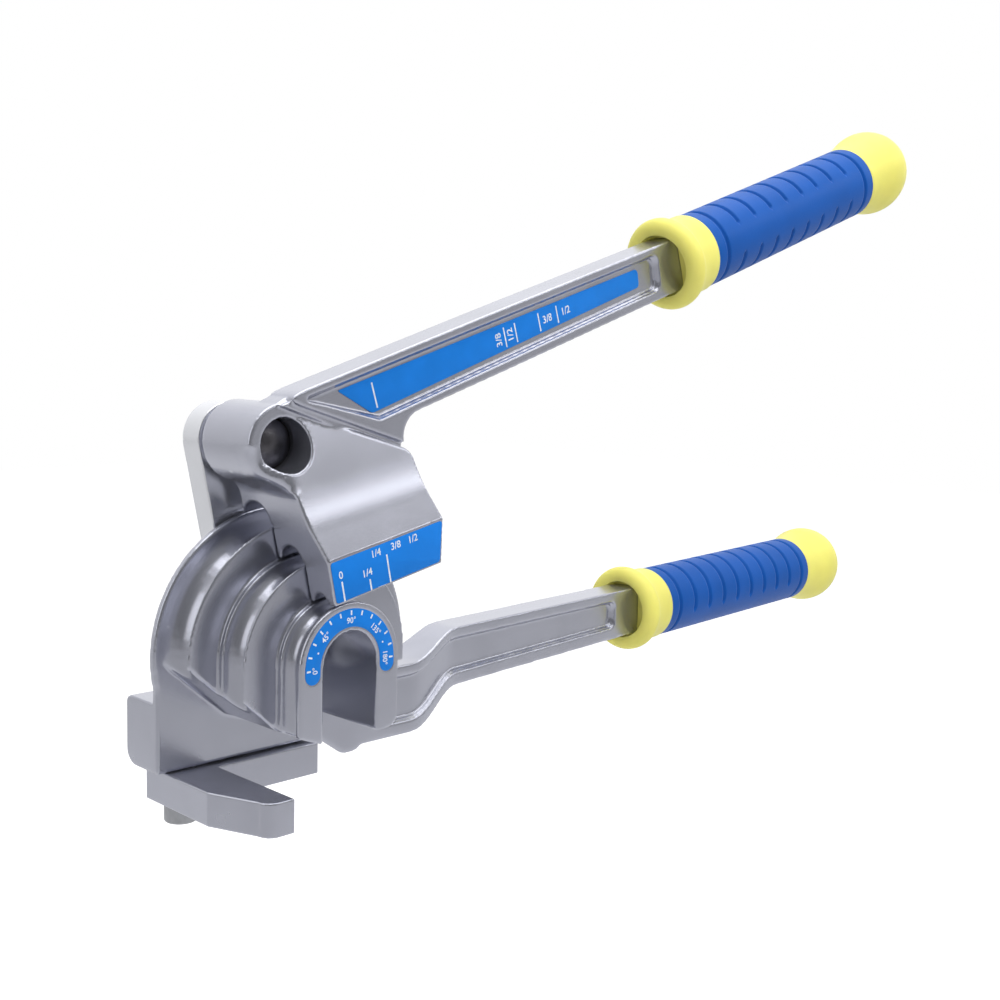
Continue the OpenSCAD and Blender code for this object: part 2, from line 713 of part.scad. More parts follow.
// Lever bar, with a slanted, round-tipped left end above the shoe and a round inner corner where it leaves
// the shoe. A band joins that end to the shoe's top, and a crest behind the ring runs on to the barrel's side.
module lever_bar() {
  corner_u = shoe_ahead + bar_corner_r;
  corner_n = lever_low(corner_u) - bar_corner_r;
  side_n = link_len + sqrt(pow(barrel_d / 2, 2) - pow(crest_back, 2));
  tip_foot = mix([0, lever_top(0)], [shoe_ahead, corner_n], bar_tip_foot / shoe_ahead);
  side_prism(concat(
    curve_points(tip_foot, [0, lever_top(0)], [bar_tip, lever_top(bar_tip)], 6),
    [[lever_ref, lever_top(lever_ref)]],
    [[lever_grip_u, lever_top(lever_grip_u)], [lever_end_u, lever_top(lever_end_u)]],
    [[lever_end_u, lever_low(lever_end_u)], [lever_grip_u, lever_low(lever_grip_u)]],
    [[lever_ref, lever_low(lever_ref)]],
    arc_points(corner_u, corner_n, bar_corner_r, 90, 180, 6)
  ), lever_front, lever_rear);
  crest_from = [-crest_back, side_n - joint_sink];
  crest_to = [crest_ahead, lever_top(crest_ahead) - joint_sink];
  side_prism([
    [0, barrel_top - joint_sink], [band_from, barrel_top], [band_to, corner_n + over],
    [band_to, shoe_shoulder - over], [band_to - shoulder_r, shoe_shoulder]
  ], barrel_front - crest_step, lever_rear);
  side_prism(concat(
    curve_points(crest_from, [crest_bend, lever_top(crest_bend) - 2 * joint_sink], crest_to, 6),
    [[0, link_len]]
  ), barrel_front + joint_sink, lever_rear);
}

// Outline of a channel in a side of the lever bar, from its left end's two corners, inside a rim
channel_right = lever_grip_u - lever_channel_end;
channel_left = 7;
channel_foot = 32.5;
rear_channel_left = shoe_ahead + 20;
function channel_outline(left, foot, rim) =
  let (round_from = channel_right - channel_corner_r - rim + lever_rim, end_rim = rim + channel_low_rim)
  concat(
    [[left + rim - lever_rim, lever_top(left) - rim]],
    arc_points(round_from, lever_top(channel_right) - end_rim - channel_corner_r,
      channel_corner_r, 90, 0, 5),
    arc_points(round_from, lever_low(channel_right) + end_rim + channel_corner_r,
      channel_corner_r, 360, 270, 5),
    [[foot + rim - lever_rim, lever_low(foot) + rim]]
  );

// Label on the channel's floor: a tapered strip with a slanted left end and round right corners
label_left = 20.2;
label_foot = 31.3;
label_right = channel_right - 9;
label_inset = 4.4;
label_end_inset = 6;
label_end_rise = 0.5;
label_corner_r = 1.6;
label_round = label_right - label_corner_r;
label_outline = concat(
  [[label_left, lever_top(label_left) - label_inset]],
  arc_points(label_round, lever_top(label_right) - label_end_inset + label_end_rise - label_corner_r,
    label_corner_r, 90, 0, 4),
  arc_points(label_round, lever_low(label_right) + label_end_inset + label_end_rise + label_corner_r,
    label_corner_r, 360, 270, 4),
  [[label_foot, lever_low(label_foot) + label_inset]]
);

module lever_casting() {
  color(cast_silver) along_tube() difference() {
    union() {
      intersection() {
        shoe_section();
        shoe_limits();
      }
      ring_blend();
      lever_bar();
      translate([0, 0, link_len]) {
        y_rod(barrel_d, barrel_front, barrel_rear - barrel_boss_h);
        y_rod(barrel_boss_d, counterbore_y, barrel_rear);
      }
    }
    // Tube grooves along the shoe
    for (row = groove_rows)
      translate([-shoe_back - over, row[1], row[0]]) rotate([0, 90, 0])
        cylinder(r = row[2], h = shoe_back + shoe_ahead + 2 * over);
    // Bore for the pin's bushes and counterbore for the pin's head
    translate([0, 0, link_len]) {
      y_rod(barrel_bush_d + 2 * pin_play, barrel_front, barrel_rear + over);
      y_rod(counterbore_d, -shoe_front - over, counterbore_y);
    }
    // Channels in both sides of the bar, and the seat of the shoe's label
    for (step = channel_steps) {
      side_prism(channel_outline(channel_left, channel_foot, lever_rim + step[1]),
        lever_front - over, lever_front + step[0] * channel_depth);
      side_prism(channel_outline(rear_channel_left, rear_channel_left, flange_t + step[1]),
        lever_rear - step[0] * channel_depth, lever_rear + over);
    }
    shoe_label_plate(pin_play, -shoe_front - over, -shoe_front + label_t);
  }
}

// Label on the shoe's front face, grown by a margin
module shoe_label_plate(margin, y_from, y_to) {
  edge = shoe_label_border - margin;
  side_prism([
    [-shoe_back + edge, shoe_low[0] + edge], [shoe_ahead - shoe_taper - edge, shoe_low[0] + edge],
    [shoe_ahead - edge, shoe_face_top - edge], [-shoe_back + edge, shoe_face_top - edge]
  ], y_from, y_to);
}

module barrel_bush_front() {
  color(bronze) at_barrel()
    y_ring(barrel_bush_d, pin_d + 2 * pin_play, counterbore_y, counterbore_y + barrel_bush_len);
}

module barrel_bush_rear() {
  color(bronze) at_barrel()
    y_ring(barrel_bush_d, pin_d + 2 * pin_play, barrel_rear - barrel_bush_len, barrel_rear);
}

module shoe_label() {
  color(label_blue) along_tube() shoe_label_plate(0, -shoe_front, -shoe_front + label_t);
}

module lever_label() {
  floor_y = lever_front + channel_depth;
  color(label_blue) along_tube() side_prism(label_outline, floor_y - label_t, floor_y);
}

// Flared collar at the front of a grip, drawn along X
module collar() {
  ring_r = collar_flange_w / 2;
  neck_from = ring_r / 2;
  color(grip_yellow) rotate([0, 90, 0]) difference() {
    union() {
      translate([0, 0, ring_r]) rotate_extrude() translate([collar_d / 2 - ring_r, 0]) circle(r = ring_r);
      translate([0, 0, neck_from])
        cylinder(d1 = collar_d - ring_r, d2 = sleeve_d + 0.8, h = collar_len - neck_from);
    }
    translate([0, 0, -over]) cylinder(d = grip_bore, h = collar_len + 2 * over);
  }
}

// Sleeve with a full groove near each end and two rows of short grooves between smooth bands, drawn along X
module sleeve(band) {
  rib_step = (sleeve_len - 2 * rib_end) / (rib_count + 1);
  ribs = [for (i = [0:rib_count + 1]) sleeve_from + rib_end + i * rib_step];
  corners = [[0, -rib_w / 2], [rib_depth, -rib_w / 2], [rib_depth, rib_w / 2], [0, rib_w / 2]];
  outer_r = sleeve_d / 2;
  band_arc = 180 - rib_arc;
  band_proud = 0.08;
  band_root = 1.5 * rib_depth;
  color(rubber_blue) rotate([0, 90, 0]) {
    rotate_extrude() polygon(concat(
      [[grip_r, sleeve_from], [outer_r, sleeve_from]],
      [for (s = ribs, c = corners) [outer_r - c[0], s + c[1]]],
      [[outer_r, sleeve_to], [grip_r, sleeve_to]]
    ));
    for (side = [90, 270]) rotate([0, 0, band + side - band_arc / 2]) rotate_extrude(angle = band_arc)
      translate([outer_r - band_root, ribs[1] - rib_w])
        square([band_root + band_proud, ribs[rib_count] - ribs[1] + 2 * rib_w]);
  }
}

// Domed end cap with a flare and a neck inside the sleeve, drawn along X
module end_cap() {
  color(grip_yellow) rotate([0, 90, 0]) {
    translate([0, 0, cap_centre]) sphere(d = cap_d);
    translate([0, 0, sleeve_to]) cylinder(d1 = sleeve_d - 0.6, d2 = cap_d - 1.4, h = cap_flare - 3);
    translate([0, 0, sleeve_to - cap_plug]) cylinder(d = grip_bore - 2 * pin_play, h = cap_plug + over);
  }
}

module upper_collar() { on_lever_bar() collar(); }
module upper_sleeve() { on_lever_bar() sleeve(upper_band); }
module upper_end_cap() { on_lever_bar() end_cap(); }
module lower_collar() { on_lower_bar() collar(); }
module lower_sleeve() { on_lower_bar() sleeve(lower_band); }
module lower_end_cap() { on_lower_bar() end_cap(); }

// Latch: a bar under the plate and a finger that reaches forward beside the die
module latch_hook() {
  bar_front_y = plate_y - latch_bar_front;
  bar_rear_y = bar_front_y + latch_bar_t;
  tip_r = 4;
  tip_left = finger_inner + finger_tip_w;
  color(cast_silver) difference() {
    plan_prism(concat(
      [[-latch_left, bar_rear_y], [-latch_left, y_mid]],
      arc_points(tip_r - tip_left, tip_r - finger_front, tip_r, 180, 270, 6),
      [[-finger_inner, -finger_front], [-finger_inner, bar_front_y]],
      [[latch_right, bar_front_y], [latch_right, bar_rear_y]]
    ), latch_low, latch_top);
    translate([latch_axis[0], latch_axis[1], latch_low - over])
      cylinder(d = latch_pin_d + 2 * pin_play, h = latch_h + 2 * over);
  }
}

module latch_pin() {
  color(zinc_steel) translate([latch_axis[0], latch_axis[1], 0]) {
    translate([0, 0, latch_washer_low]) cylinder(d = latch_pin_d, h = latch_bore_top - latch_washer_low);
    translate([0, 0, latch_washer_low - latch_head_h]) cylinder(d = latch_head_d, h = latch_head_h);
  }
}

module latch_washer() {
  color(zinc_steel) translate([latch_axis[0], latch_axis[1], latch_washer_low]) difference() {
    cylinder(d = latch_head_d + 1.4, h = washer_t);
    translate([0, 0, -over]) cylinder(d = latch_pin_d + 2 * pin_play, h = washer_t + 2 * over);
  }
}

form_casting();
degree_label();
pivot_bolt();
pivot_washer();
pivot_rear_washer();
pivot_nut();
link_plate();
link_bush();
barrel_pin();
barrel_pin_washer();
barrel_pin_ring();
lever_casting();
barrel_bush_front();
barrel_bush_rear();
shoe_label();
lever_label();
upper_collar();
upper_sleeve();
upper_end_cap();
lower_collar();
lower_sleeve();
lower_end_cap();
latch_hook();
latch_pin();
latch_washer();
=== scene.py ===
"""Looks of a lever tube bender: painted castings, printed labels, moulded grips and turned hardware."""

import json
import math

import bmesh
import bpy
from bpy.props import FloatProperty, FloatVectorProperty, IntProperty, PointerProperty
from mathutils import Matrix, Vector


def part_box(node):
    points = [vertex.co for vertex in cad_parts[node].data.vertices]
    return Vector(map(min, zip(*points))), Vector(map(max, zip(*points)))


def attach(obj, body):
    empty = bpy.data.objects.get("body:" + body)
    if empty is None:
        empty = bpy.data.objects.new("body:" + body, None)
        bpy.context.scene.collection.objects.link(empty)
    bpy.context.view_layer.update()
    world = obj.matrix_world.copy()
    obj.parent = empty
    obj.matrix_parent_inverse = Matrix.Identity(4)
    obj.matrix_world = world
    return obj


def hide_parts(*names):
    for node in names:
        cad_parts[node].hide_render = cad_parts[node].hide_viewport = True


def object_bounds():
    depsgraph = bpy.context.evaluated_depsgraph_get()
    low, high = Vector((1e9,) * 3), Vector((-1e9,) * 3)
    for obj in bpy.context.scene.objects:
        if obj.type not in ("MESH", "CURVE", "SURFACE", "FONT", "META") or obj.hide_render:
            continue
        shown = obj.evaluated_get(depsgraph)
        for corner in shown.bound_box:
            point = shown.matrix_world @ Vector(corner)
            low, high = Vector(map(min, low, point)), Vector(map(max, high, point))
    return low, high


bl_info = {
    "name": "Tube Bender Looks",
    "version": (1, 0, 0),
    "blender": (4, 5, 0),
    "location": "View3D > Sidebar > Bender",
    "description": "Dresses a packed tube bender with castings, labels, grips, hardware and a studio",
    "category": "Object",
}

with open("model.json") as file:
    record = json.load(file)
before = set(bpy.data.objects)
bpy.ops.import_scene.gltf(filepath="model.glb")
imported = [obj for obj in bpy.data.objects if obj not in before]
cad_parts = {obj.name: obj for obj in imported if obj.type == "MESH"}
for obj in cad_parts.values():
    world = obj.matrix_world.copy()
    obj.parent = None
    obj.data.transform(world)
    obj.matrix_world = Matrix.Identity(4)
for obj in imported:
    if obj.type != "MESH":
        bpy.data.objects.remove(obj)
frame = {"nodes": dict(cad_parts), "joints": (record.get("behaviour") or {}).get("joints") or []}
CAD_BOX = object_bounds()
NODES = frame["nodes"]
JOINTS = {joint["name"]: joint for joint in frame["joints"]}
MM = 0.001

# Distances below which points of a turned shape, points of a CAD mesh, and places are taken as one
WELD = 1e-7
CAD_WELD = 2e-6
SAME_PLACE = 1e-6

# Steps round a turned shape
HARDWARE_STEPS = 96
NUT_STEPS = 144
GRIP_STEPS = 128
SLEEVE_STEPS = 192

# The lever's and the latch's pivots, and the frame of the tube's straight end: x along the tube, z away from
# the bend centre
BARREL = Vector(JOINTS["lever_open"]["pos_m"])
LATCH = Vector(JOINTS["latch_swing"]["pos_m"])
TILT = math.atan2(-BARREL.x, BARREL.z)
TUBE_END = Matrix.Rotation(-TILT, 4, "Y")

# Turns a shape drawn along X so that it runs along Y or Z, and lettering so that it faces the front
X_TO_Y = Matrix.Rotation(math.radians(90), 4, "Z")
X_TO_Z = Matrix.Rotation(math.radians(-90), 4, "Y")
TO_FRONT = Matrix.Rotation(math.radians(90), 4, "X")


class CastSettings(bpy.types.PropertyGroup):
    """Finish of the painted castings"""

    form_voxel: FloatProperty(
        name="Form detail", description="Size of the smallest detail kept on the die and handle casting",
        default=0.52 * MM, unit="LENGTH")
    lever_voxel: FloatProperty(
        name="Lever detail", description="Size of the smallest detail kept on the lever casting",
        default=0.48 * MM, unit="LENGTH")
    small_voxel: FloatProperty(
        name="Small casting detail", description="Size of the smallest detail kept on the link and latch",
        default=0.3 * MM, unit="LENGTH")
    round_passes: IntProperty(
        name="Rounding", description="Smoothing passes that round the casting's edges", default=4, min=1)
    flat_angle: FloatProperty(
        name="Flat angle", description="Angle below which neighbouring faces are joined into one flat face",
        default=math.radians(0.03), subtype="ANGLE")
    most_triangles: IntProperty(
        name="Most triangles", description="Triangles that a casting may have", default=195000)
    ring_front: FloatProperty(
        name="Ring front", description="Distance of the lever ring's face behind the die's front face",
        default=14 * MM, unit="LENGTH")
    ring_inner: FloatProperty(
        name="Ring inside", description="Radius of the lever ring's hole", default=7.5 * MM, unit="LENGTH")
    ring_outer: FloatProperty(
        name="Ring outside", description="Outside radius of the lever ring", default=11.5 * MM,
        unit="LENGTH")
    ring_passes: IntProperty(
        name="Ring blend", description="Smoothing passes where the lever's ring meets its slope",
        default=90, min=1)
    paint: FloatVectorProperty(
        name="Paint", description="Silver paint on the castings", subtype="COLOR",
        default=(0.475, 0.485, 0.555))
    # Bright edge colour: rubbed metal and a painted highlight along the castings' edges
    worn_and_lit: FloatVectorProperty(
        name="Worn and lit edge", description="Brighter metal where edges are rubbed", subtype="COLOR",
        default=(0.84, 0.86, 0.91))
    plating: FloatVectorProperty(
        name="Plating", description="Brighter plated finish of the link", subtype="COLOR",
        default=(0.78, 0.79, 0.83))


class LabelSettings(bpy.types.PropertyGroup):
    """Printed labels and their scales"""

    blue: FloatVectorProperty(
        name="Label blue", description="Ground colour of the printed labels", subtype="COLOR",
        default=(0.012, 0.23, 0.8))
    ink: FloatVectorProperty(
        name="Ink", description="Colour of the printed marks", subtype="COLOR", default=(0.86, 0.9, 0.94))
    corner: FloatProperty(
        name="Corner", description="Radius of the labels' corners", default=0.9 * MM, unit="LENGTH")
    ink_height: FloatProperty(
        name="Ink height", description="Height of the printed marks above the label", default=0.03 * MM,
        unit="LENGTH")
    boldness: FloatProperty(
        name="Boldness", description="Stroke added round the figures, as a share of their size",
        default=0.012, subtype="FACTOR")
    line_width: FloatProperty(
        name="Line width", description="Width of the printed lines", default=0.5 * MM, unit="LENGTH")
    tick_step: FloatProperty(
        name="Degree step", description="Angle between the ticks of the degree scale",
        default=math.radians(15), subtype="ANGLE")
    tick_radius: FloatProperty(
        name="Tick radius", description="Distance of the ticks' middles from the bend centre",
        default=14.5 * MM, unit="LENGTH")
    tick_length: FloatProperty(
        name="Tick length", description="Length of the degree ticks", default=1.3 * MM, unit="LENGTH")
    number_radius: FloatProperty(
        name="Number radius", description="Distance of the degree numbers from the bend centre",
        default=12.3 * MM, unit="LENGTH")
    number_size: FloatProperty(
        name="Number size", description="Height of the degree numbers' type", default=2.3 * MM,
        unit="LENGTH")
    shoe_size: FloatProperty(
        name="Shoe number size", description="Height of the shoe label's type", default=2.9 * MM,
        unit="LENGTH")
    strip_size: FloatProperty(
        name="Strip number size", description="Height of the lever strip's type", default=3.4 * MM,
        unit="LENGTH")


class GripSettings(bpy.types.PropertyGroup):
    """Moulded grips on both handles"""

    upper_rise: FloatProperty(
        name="Upper rise", description="Angle of the lever's grip above the tube's straight end",
        default=math.radians(6.6), subtype="ANGLE")
    lower_tilt: FloatProperty(
        name="Lower tilt", description="Upward tilt of the lower grip", default=math.radians(1.2),
        subtype="ANGLE")
    lower_splay: FloatProperty(
        name="Lower splay", description="Angle of the lower grip away from the bend plane",
        default=math.radians(3), subtype="ANGLE")
    bore: FloatProperty(
        name="Bore", description="Bore of the grips", default=22.2 * MM, unit="LENGTH")
    sleeve_d: FloatProperty(
        name="Sleeve diameter", description="Outside diameter of the sleeves", default=27.6 * MM,
        unit="LENGTH")
    sleeve_length: FloatProperty(
        name="Sleeve length", description="Length of the sleeves", default=107 * MM, unit="LENGTH")
    collar_length: FloatProperty(
        name="Collar length", description="Length of the collars", default=17 * MM, unit="LENGTH")
    collar_d: FloatProperty(
        name="Collar diameter", description="Outside diameter of the collars' rounded flange",
        default=33 * MM, unit="LENGTH")
    flange_width: FloatProperty(
        name="Flange width", description="Width of the collars' rounded flange", default=7.4 * MM,
        unit="LENGTH")
    cap_d: FloatProperty(
        name="Cap diameter", description="Diameter of the domed end caps", default=33.4 * MM, unit="LENGTH")
    cap_flare: FloatProperty(
        name="Cap flare", description="Length of the flare between a sleeve and its cap's middle",
        default=17.5 * MM, unit="LENGTH")
    bar_width: FloatProperty(
        name="Bar width", description="Depth of the bars that enter the grips", default=11.8 * MM,
        unit="LENGTH")
    bar_height: FloatProperty(
        name="Bar height", description="Height of the bars that enter the grips", default=18.2 * MM,
        unit="LENGTH")
    rib_count: IntProperty(
        name="Ribs", description="Short grip grooves along a sleeve", default=8, min=2)
    rib_width: FloatProperty(
        name="Rib width", description="Width of a grip groove", default=1.9 * MM, unit="LENGTH")
    rib_depth: FloatProperty(
        name="Rib depth", description="Depth of a grip groove", default=0.95 * MM, unit="LENGTH")
    rib_arc: FloatProperty(
        name="Rib arc", description="Angle that a row of grip grooves covers", default=math.radians(140),
        subtype="ANGLE")
    end_rib: FloatProperty(
        name="End rib", description="Distance of the full end grooves from a sleeve's ends",
        default=6 * MM, unit="LENGTH")
    yellow: FloatVectorProperty(
        name="Yellow", description="Colour of the collars and caps", subtype="COLOR",
        default=(0.98, 0.92, 0.22))
    blue: FloatVectorProperty(
        name="Sleeve blue", description="Colour of the rubber sleeves", subtype="COLOR",
        default=(0.004, 0.1, 0.45))


class HardwareSettings(bpy.types.PropertyGroup):
    """Bolt, nut, pins, washers, ring and bushes"""

    edge: FloatProperty(
        name="Edge", description="Chamfer on the edges of the hardware", default=0.2 * MM, unit="LENGTH")
    socket_flats: FloatProperty(
        name="Socket", description="Width across flats of the bend bolt's socket", default=6 * MM,
        unit="LENGTH")
    socket_depth: FloatProperty(
        name="Socket depth", description="Depth of the bend bolt's socket", default=3 * MM, unit="LENGTH")
    thread_pitch: FloatProperty(
        name="Thread pitch", description="Pitch of the bend bolt's thread", default=1.25 * MM,
        unit="LENGTH")
    pivot_d: FloatProperty(
        name="Pivot diameter", description="Diameter of the bend bolt and the lever's pivot pin",
        default=10 * MM, unit="LENGTH")
    latch_d: FloatProperty(
        name="Latch pin diameter", description="Diameter of the latch pin", default=6 * MM, unit="LENGTH")
    play: FloatProperty(
        name="Play", description="Radial play of a pin in its washer, nut or ring", default=0.05 * MM,
        unit="LENGTH")
    head_height: FloatProperty(
        name="Bolt head", description="Height of the bend bolt's head", default=5.5 * MM, unit="LENGTH")
    dome: FloatProperty(
        name="Pin dome", description="Height of the dome on the pivot pin's head", default=2.25 * MM,
        unit="LENGTH")
    zinc: FloatVectorProperty(
        name="Zinc", description="Plated steel", subtype="COLOR", default=(0.52, 0.53, 0.56))
    oxide: FloatVectorProperty(
        name="Oxide", description="Blackened steel", subtype="COLOR", default=(0.16, 0.155, 0.17))
    bronze: FloatVectorProperty(
        name="Bronze", description="Bearing bronze", subtype="COLOR", default=(0.42, 0.25, 0.09))


class StageSettings(bpy.types.PropertyGroup):
    """Studio round the tool"""

    camera_place: FloatVectorProperty(
        name="Camera place", description="Place of the camera", subtype="TRANSLATION", unit="LENGTH",
        default=(-0.2387613, -0.2931004, 0.0923853))
    camera_turn: FloatVectorProperty(
        name="Camera turn", description="Rotation of the camera", subtype="EULER",
        default=tuple(math.radians(angle) for angle in (83.0873, -1.4343, -45.0860)))
    camera_lens: FloatProperty(
        name="Lens", description="Focal length of the camera", default=49.953, unit="CAMERA")
    ambient: FloatProperty(
        name="Ambient", description="Strength of the even light from all round", default=0.34)
    bright_side: FloatVectorProperty(
        name="Bright side", description="Direction of the studio's bright side", subtype="DIRECTION",
        default=(0.55, 0.78, 0.3))
    dim_reflection: FloatProperty(
        name="Dim reflection", description="Brightness of the dim side in reflections", default=0.2)
    bright_reflection: FloatProperty(
        name="Bright reflection", description="Brightness of the bright side in reflections", default=1.15)
    top_power: FloatProperty(
        name="Top light", description="Power of the large light overhead", default=8.0, unit="POWER")
    left_power: FloatProperty(
        name="Left light", description="Power of the light on the left", default=2.0, unit="POWER")
    front_power: FloatProperty(
        name="Front light", description="Power of the light in front, hidden from reflections", default=8.0,
        unit="POWER")
    strip_power: FloatProperty(
        name="Strip light", description="Power of the strip light at the front right", default=1.25,
        unit="POWER")
    floor_size: FloatProperty(
        name="Floor size", description="Width of the floor", default=8.0, unit="LENGTH")
    floor_drop: FloatProperty(
        name="Floor drop", description="Depth of the floor below the bend centre, beyond the lever's reach",
        default=0.4, unit="LENGTH")
    floor_colour: FloatVectorProperty(
        name="Floor colour", description="Colour of the floor", subtype="COLOR", default=(0.85, 0.85, 0.86))
    floor_lift: FloatProperty(
        name="Floor lift", description="White added to the floor as the camera sees it", default=0.8)
    floor_mirror: FloatProperty(
        name="Floor mirror", description="Share of the floor's colour that reflections see", default=0.56,
        subtype="FACTOR")
    floor_near: FloatProperty(
        name="Near floor", description="White added to reflections of the floor in front of the tool",
        default=0.34)
    floor_far: FloatProperty(
        name="Far floor", description="White added to reflections of the floor behind the tool", default=0.5)


def settings(group):
    """The scene's settings group of that name"""
    return getattr(bpy.context.scene, "bender_" + group)


# Node tree helpers

def add_node(tree, kind, links=None, **values):
    """A new node with its values set and its inputs linked or filled"""
    node = tree.nodes.new(kind)
    for key, value in values.items():
        setattr(node, key, value)
    for key, value in (links or {}).items():
        if isinstance(value, bpy.types.NodeSocket):
            tree.links.new(value, node.inputs[key])
        else:
            node.inputs[key].default_value = value
    return node


def new_group(name, inputs, outputs):
    """An empty shader group with named sockets, its tree, and its input and output nodes"""
    tree = bpy.data.node_groups.new(name, "ShaderNodeTree")
    for label, default in inputs.items():
        kind = "NodeSocketVector" if isinstance(default, tuple) else "NodeSocketFloat"
        socket = tree.interface.new_socket(name=label, in_out="INPUT", socket_type=kind)
        socket.default_value = default
    for label in outputs:
        tree.interface.new_socket(name=label, in_out="OUTPUT", socket_type="NodeSocketFloat")
    return tree, tree.nodes.new("NodeGroupInput"), tree.nodes.new("NodeGroupOutput")


def rgba(colour):
    """A colour with full alpha"""
    return (*colour, 1.0)


def tinted(colour, share):
    """A colour made darker or lighter, with full alpha"""
    return rgba(share * part for part in colour)


def mixed(tree, factor, first, second):
    """Output of a colour mix"""
    return add_node(tree, "ShaderNodeMix", {0: factor, 6: first, 7: second}, data_type="RGBA").outputs[2]


def ranged(tree, value, low, high, to_low, to_high):
    """Output of a clamped map range"""
    node = add_node(tree, "ShaderNodeMapRange", {
        "Value": value, "From Min": low, "From Max": high, "To Min": to_low, "To Max": to_high})
    return node.outputs["Result"]


def two_tone(tree, mask, spread, colour, dark, light=1.0):
    """A colour that a mask varies between a darker and a lighter tone"""
    return mixed(tree, ranged(tree, mask, *spread, 0.0, 1.0), tinted(colour, dark), tinted(colour, light))


def object_noise(tree, scale, detail, rough):
    """Noise over the piece's own coordinates, with scale in features a metre"""
    coords = tree.nodes.new("ShaderNodeTexCoord").outputs["Object"]
    node = add_node(tree, "ShaderNodeTexNoise", {
        "Vector": coords, "Scale": scale, "Detail": detail, "Roughness": rough})
    return node.outputs["Fac"]


def edge_wear_highlight_corner_shade_group():
    """Masks of outer edges, for rubbed wear and a painted highlight, and of inner corners, for painted shade
    """
    tree, inside, outside = new_group(
        "edge_wear_highlight_and_corner_shade", {"Edge From": 0.53, "Edge To": 0.62}, ("Edge", "Corner"))
    bend = tree.nodes.new("ShaderNodeNewGeometry").outputs["Pointiness"]
    rub = ranged(tree, object_noise(tree, 420.0, 4.0, 0.6), 0.3, 0.62, 0.25, 1.0)
    edge = ranged(tree, bend, inside.outputs["Edge From"], inside.outputs["Edge To"], 0.0, 1.0)
    # The edge mask lightens outer edges as rubbed wear and as a painted highlight along them
    worn_and_lit = add_node(tree, "ShaderNodeMath", {0: edge, 1: rub}, operation="MULTIPLY")
    tree.links.new(worn_and_lit.outputs["Value"], outside.inputs["Edge"])
    # The corner mask darkens inner corners and creases with painted shade
    tree.links.new(ranged(tree, bend, 0.48, 0.4, 0.0, 1.0), outside.inputs["Corner"])
    return tree


def surface_grain_group():
    """Fine grain, slow mottle and their height, for paint, rubber, plastic and print"""
    tree, inside, outside = new_group(
        "surface_grain", {"Fine Scale": 1600.0, "Broad Scale": 60.0}, ("Tone", "Speck", "Height"))
    fine = object_noise(tree, inside.outputs["Fine Scale"], 2.0, 0.55)
    broad = object_noise(tree, inside.outputs["Broad Scale"], 4.0, 0.55)
    speck = add_node(tree, "ShaderNodeTexVoronoi", {
        "Vector": tree.nodes.new("ShaderNodeTexCoord").outputs["Object"],
        "Scale": inside.outputs["Fine Scale"]})
    height = add_node(tree, "ShaderNodeMath", {0: fine, 1: speck.outputs["Distance"]}, operation="ADD")
    tree.links.new(broad, outside.inputs["Tone"])
    tree.links.new(fine, outside.inputs["Speck"])
    tree.links.new(height.outputs["Value"], outside.inputs["Height"])
    return tree


def turning_group():
    """Fine rings left by a lathe about an axis along Y or Z through a chosen centre"""
    tree, inside, outside = new_group(
        "turning_rings", {"Centre": (0.0, 0.0, 0.0), "Ring Scale": 900.0}, ("Along Y", "Along Z", "Stain"))
    coords = tree.nodes.new("ShaderNodeTexCoord").outputs["Object"]
    moved = add_node(tree, "ShaderNodeVectorMath", {0: coords, 1: inside.outputs["Centre"]},
                     operation="SUBTRACT")
    for axis in "YZ":
        rings = add_node(tree, "ShaderNodeTexWave", {
            "Vector": moved.outputs["Vector"], "Scale": inside.outputs["Ring Scale"],
            "Distortion": 0.6, "Detail": 2.0}, wave_type="RINGS", rings_direction=axis)
        tree.links.new(rings.outputs["Fac"], outside.inputs["Along " + axis])
    tree.links.new(object_noise(tree, 260.0, 5.0, 0.6), outside.inputs["Stain"])
    return tree


def shared_group(name):
    """The shader group of that name, built at its first use"""
    makers = {
        "edge_wear_highlight_and_corner_shade": edge_wear_highlight_corner_shade_group,
        "surface_grain": surface_grain_group,
        "turning_rings": turning_group,
    }
    return bpy.data.node_groups.get(name) or makers[name]()


def place_group(tree, name, values):
    """Outputs of a shared group placed in a material with its own values"""
    return add_node(tree, "ShaderNodeGroup", values, node_tree=shared_group(name)).outputs


def start_material(name, **sockets):
    """A material with a principled shader, its tree and that shader"""
    material = bpy.data.materials.new(name)
    material.use_nodes = True
    shader = material.node_tree.nodes["Principled BSDF"]
    for key, value in sockets.items():
        shader.inputs[key.replace("_", " ")].default_value = value
    return material, material.node_tree, shader


def set_finish(tree, shader, colour, mask, spread, rough):
    """Links a colour, and a roughness that a mask varies"""
    tree.links.new(colour, shader.inputs["Base Color"])
    tree.links.new(ranged(tree, mask, *spread, *rough), shader.inputs["Roughness"])


def set_bump(tree, shader, height, strength, distance):
    """Links a height to the shader's normal"""
    bump = add_node(tree, "ShaderNodeBump", {"Height": height, "Strength": strength, "Distance": distance})
    tree.links.new(bump.outputs["Normal"], shader.inputs["Normal"])


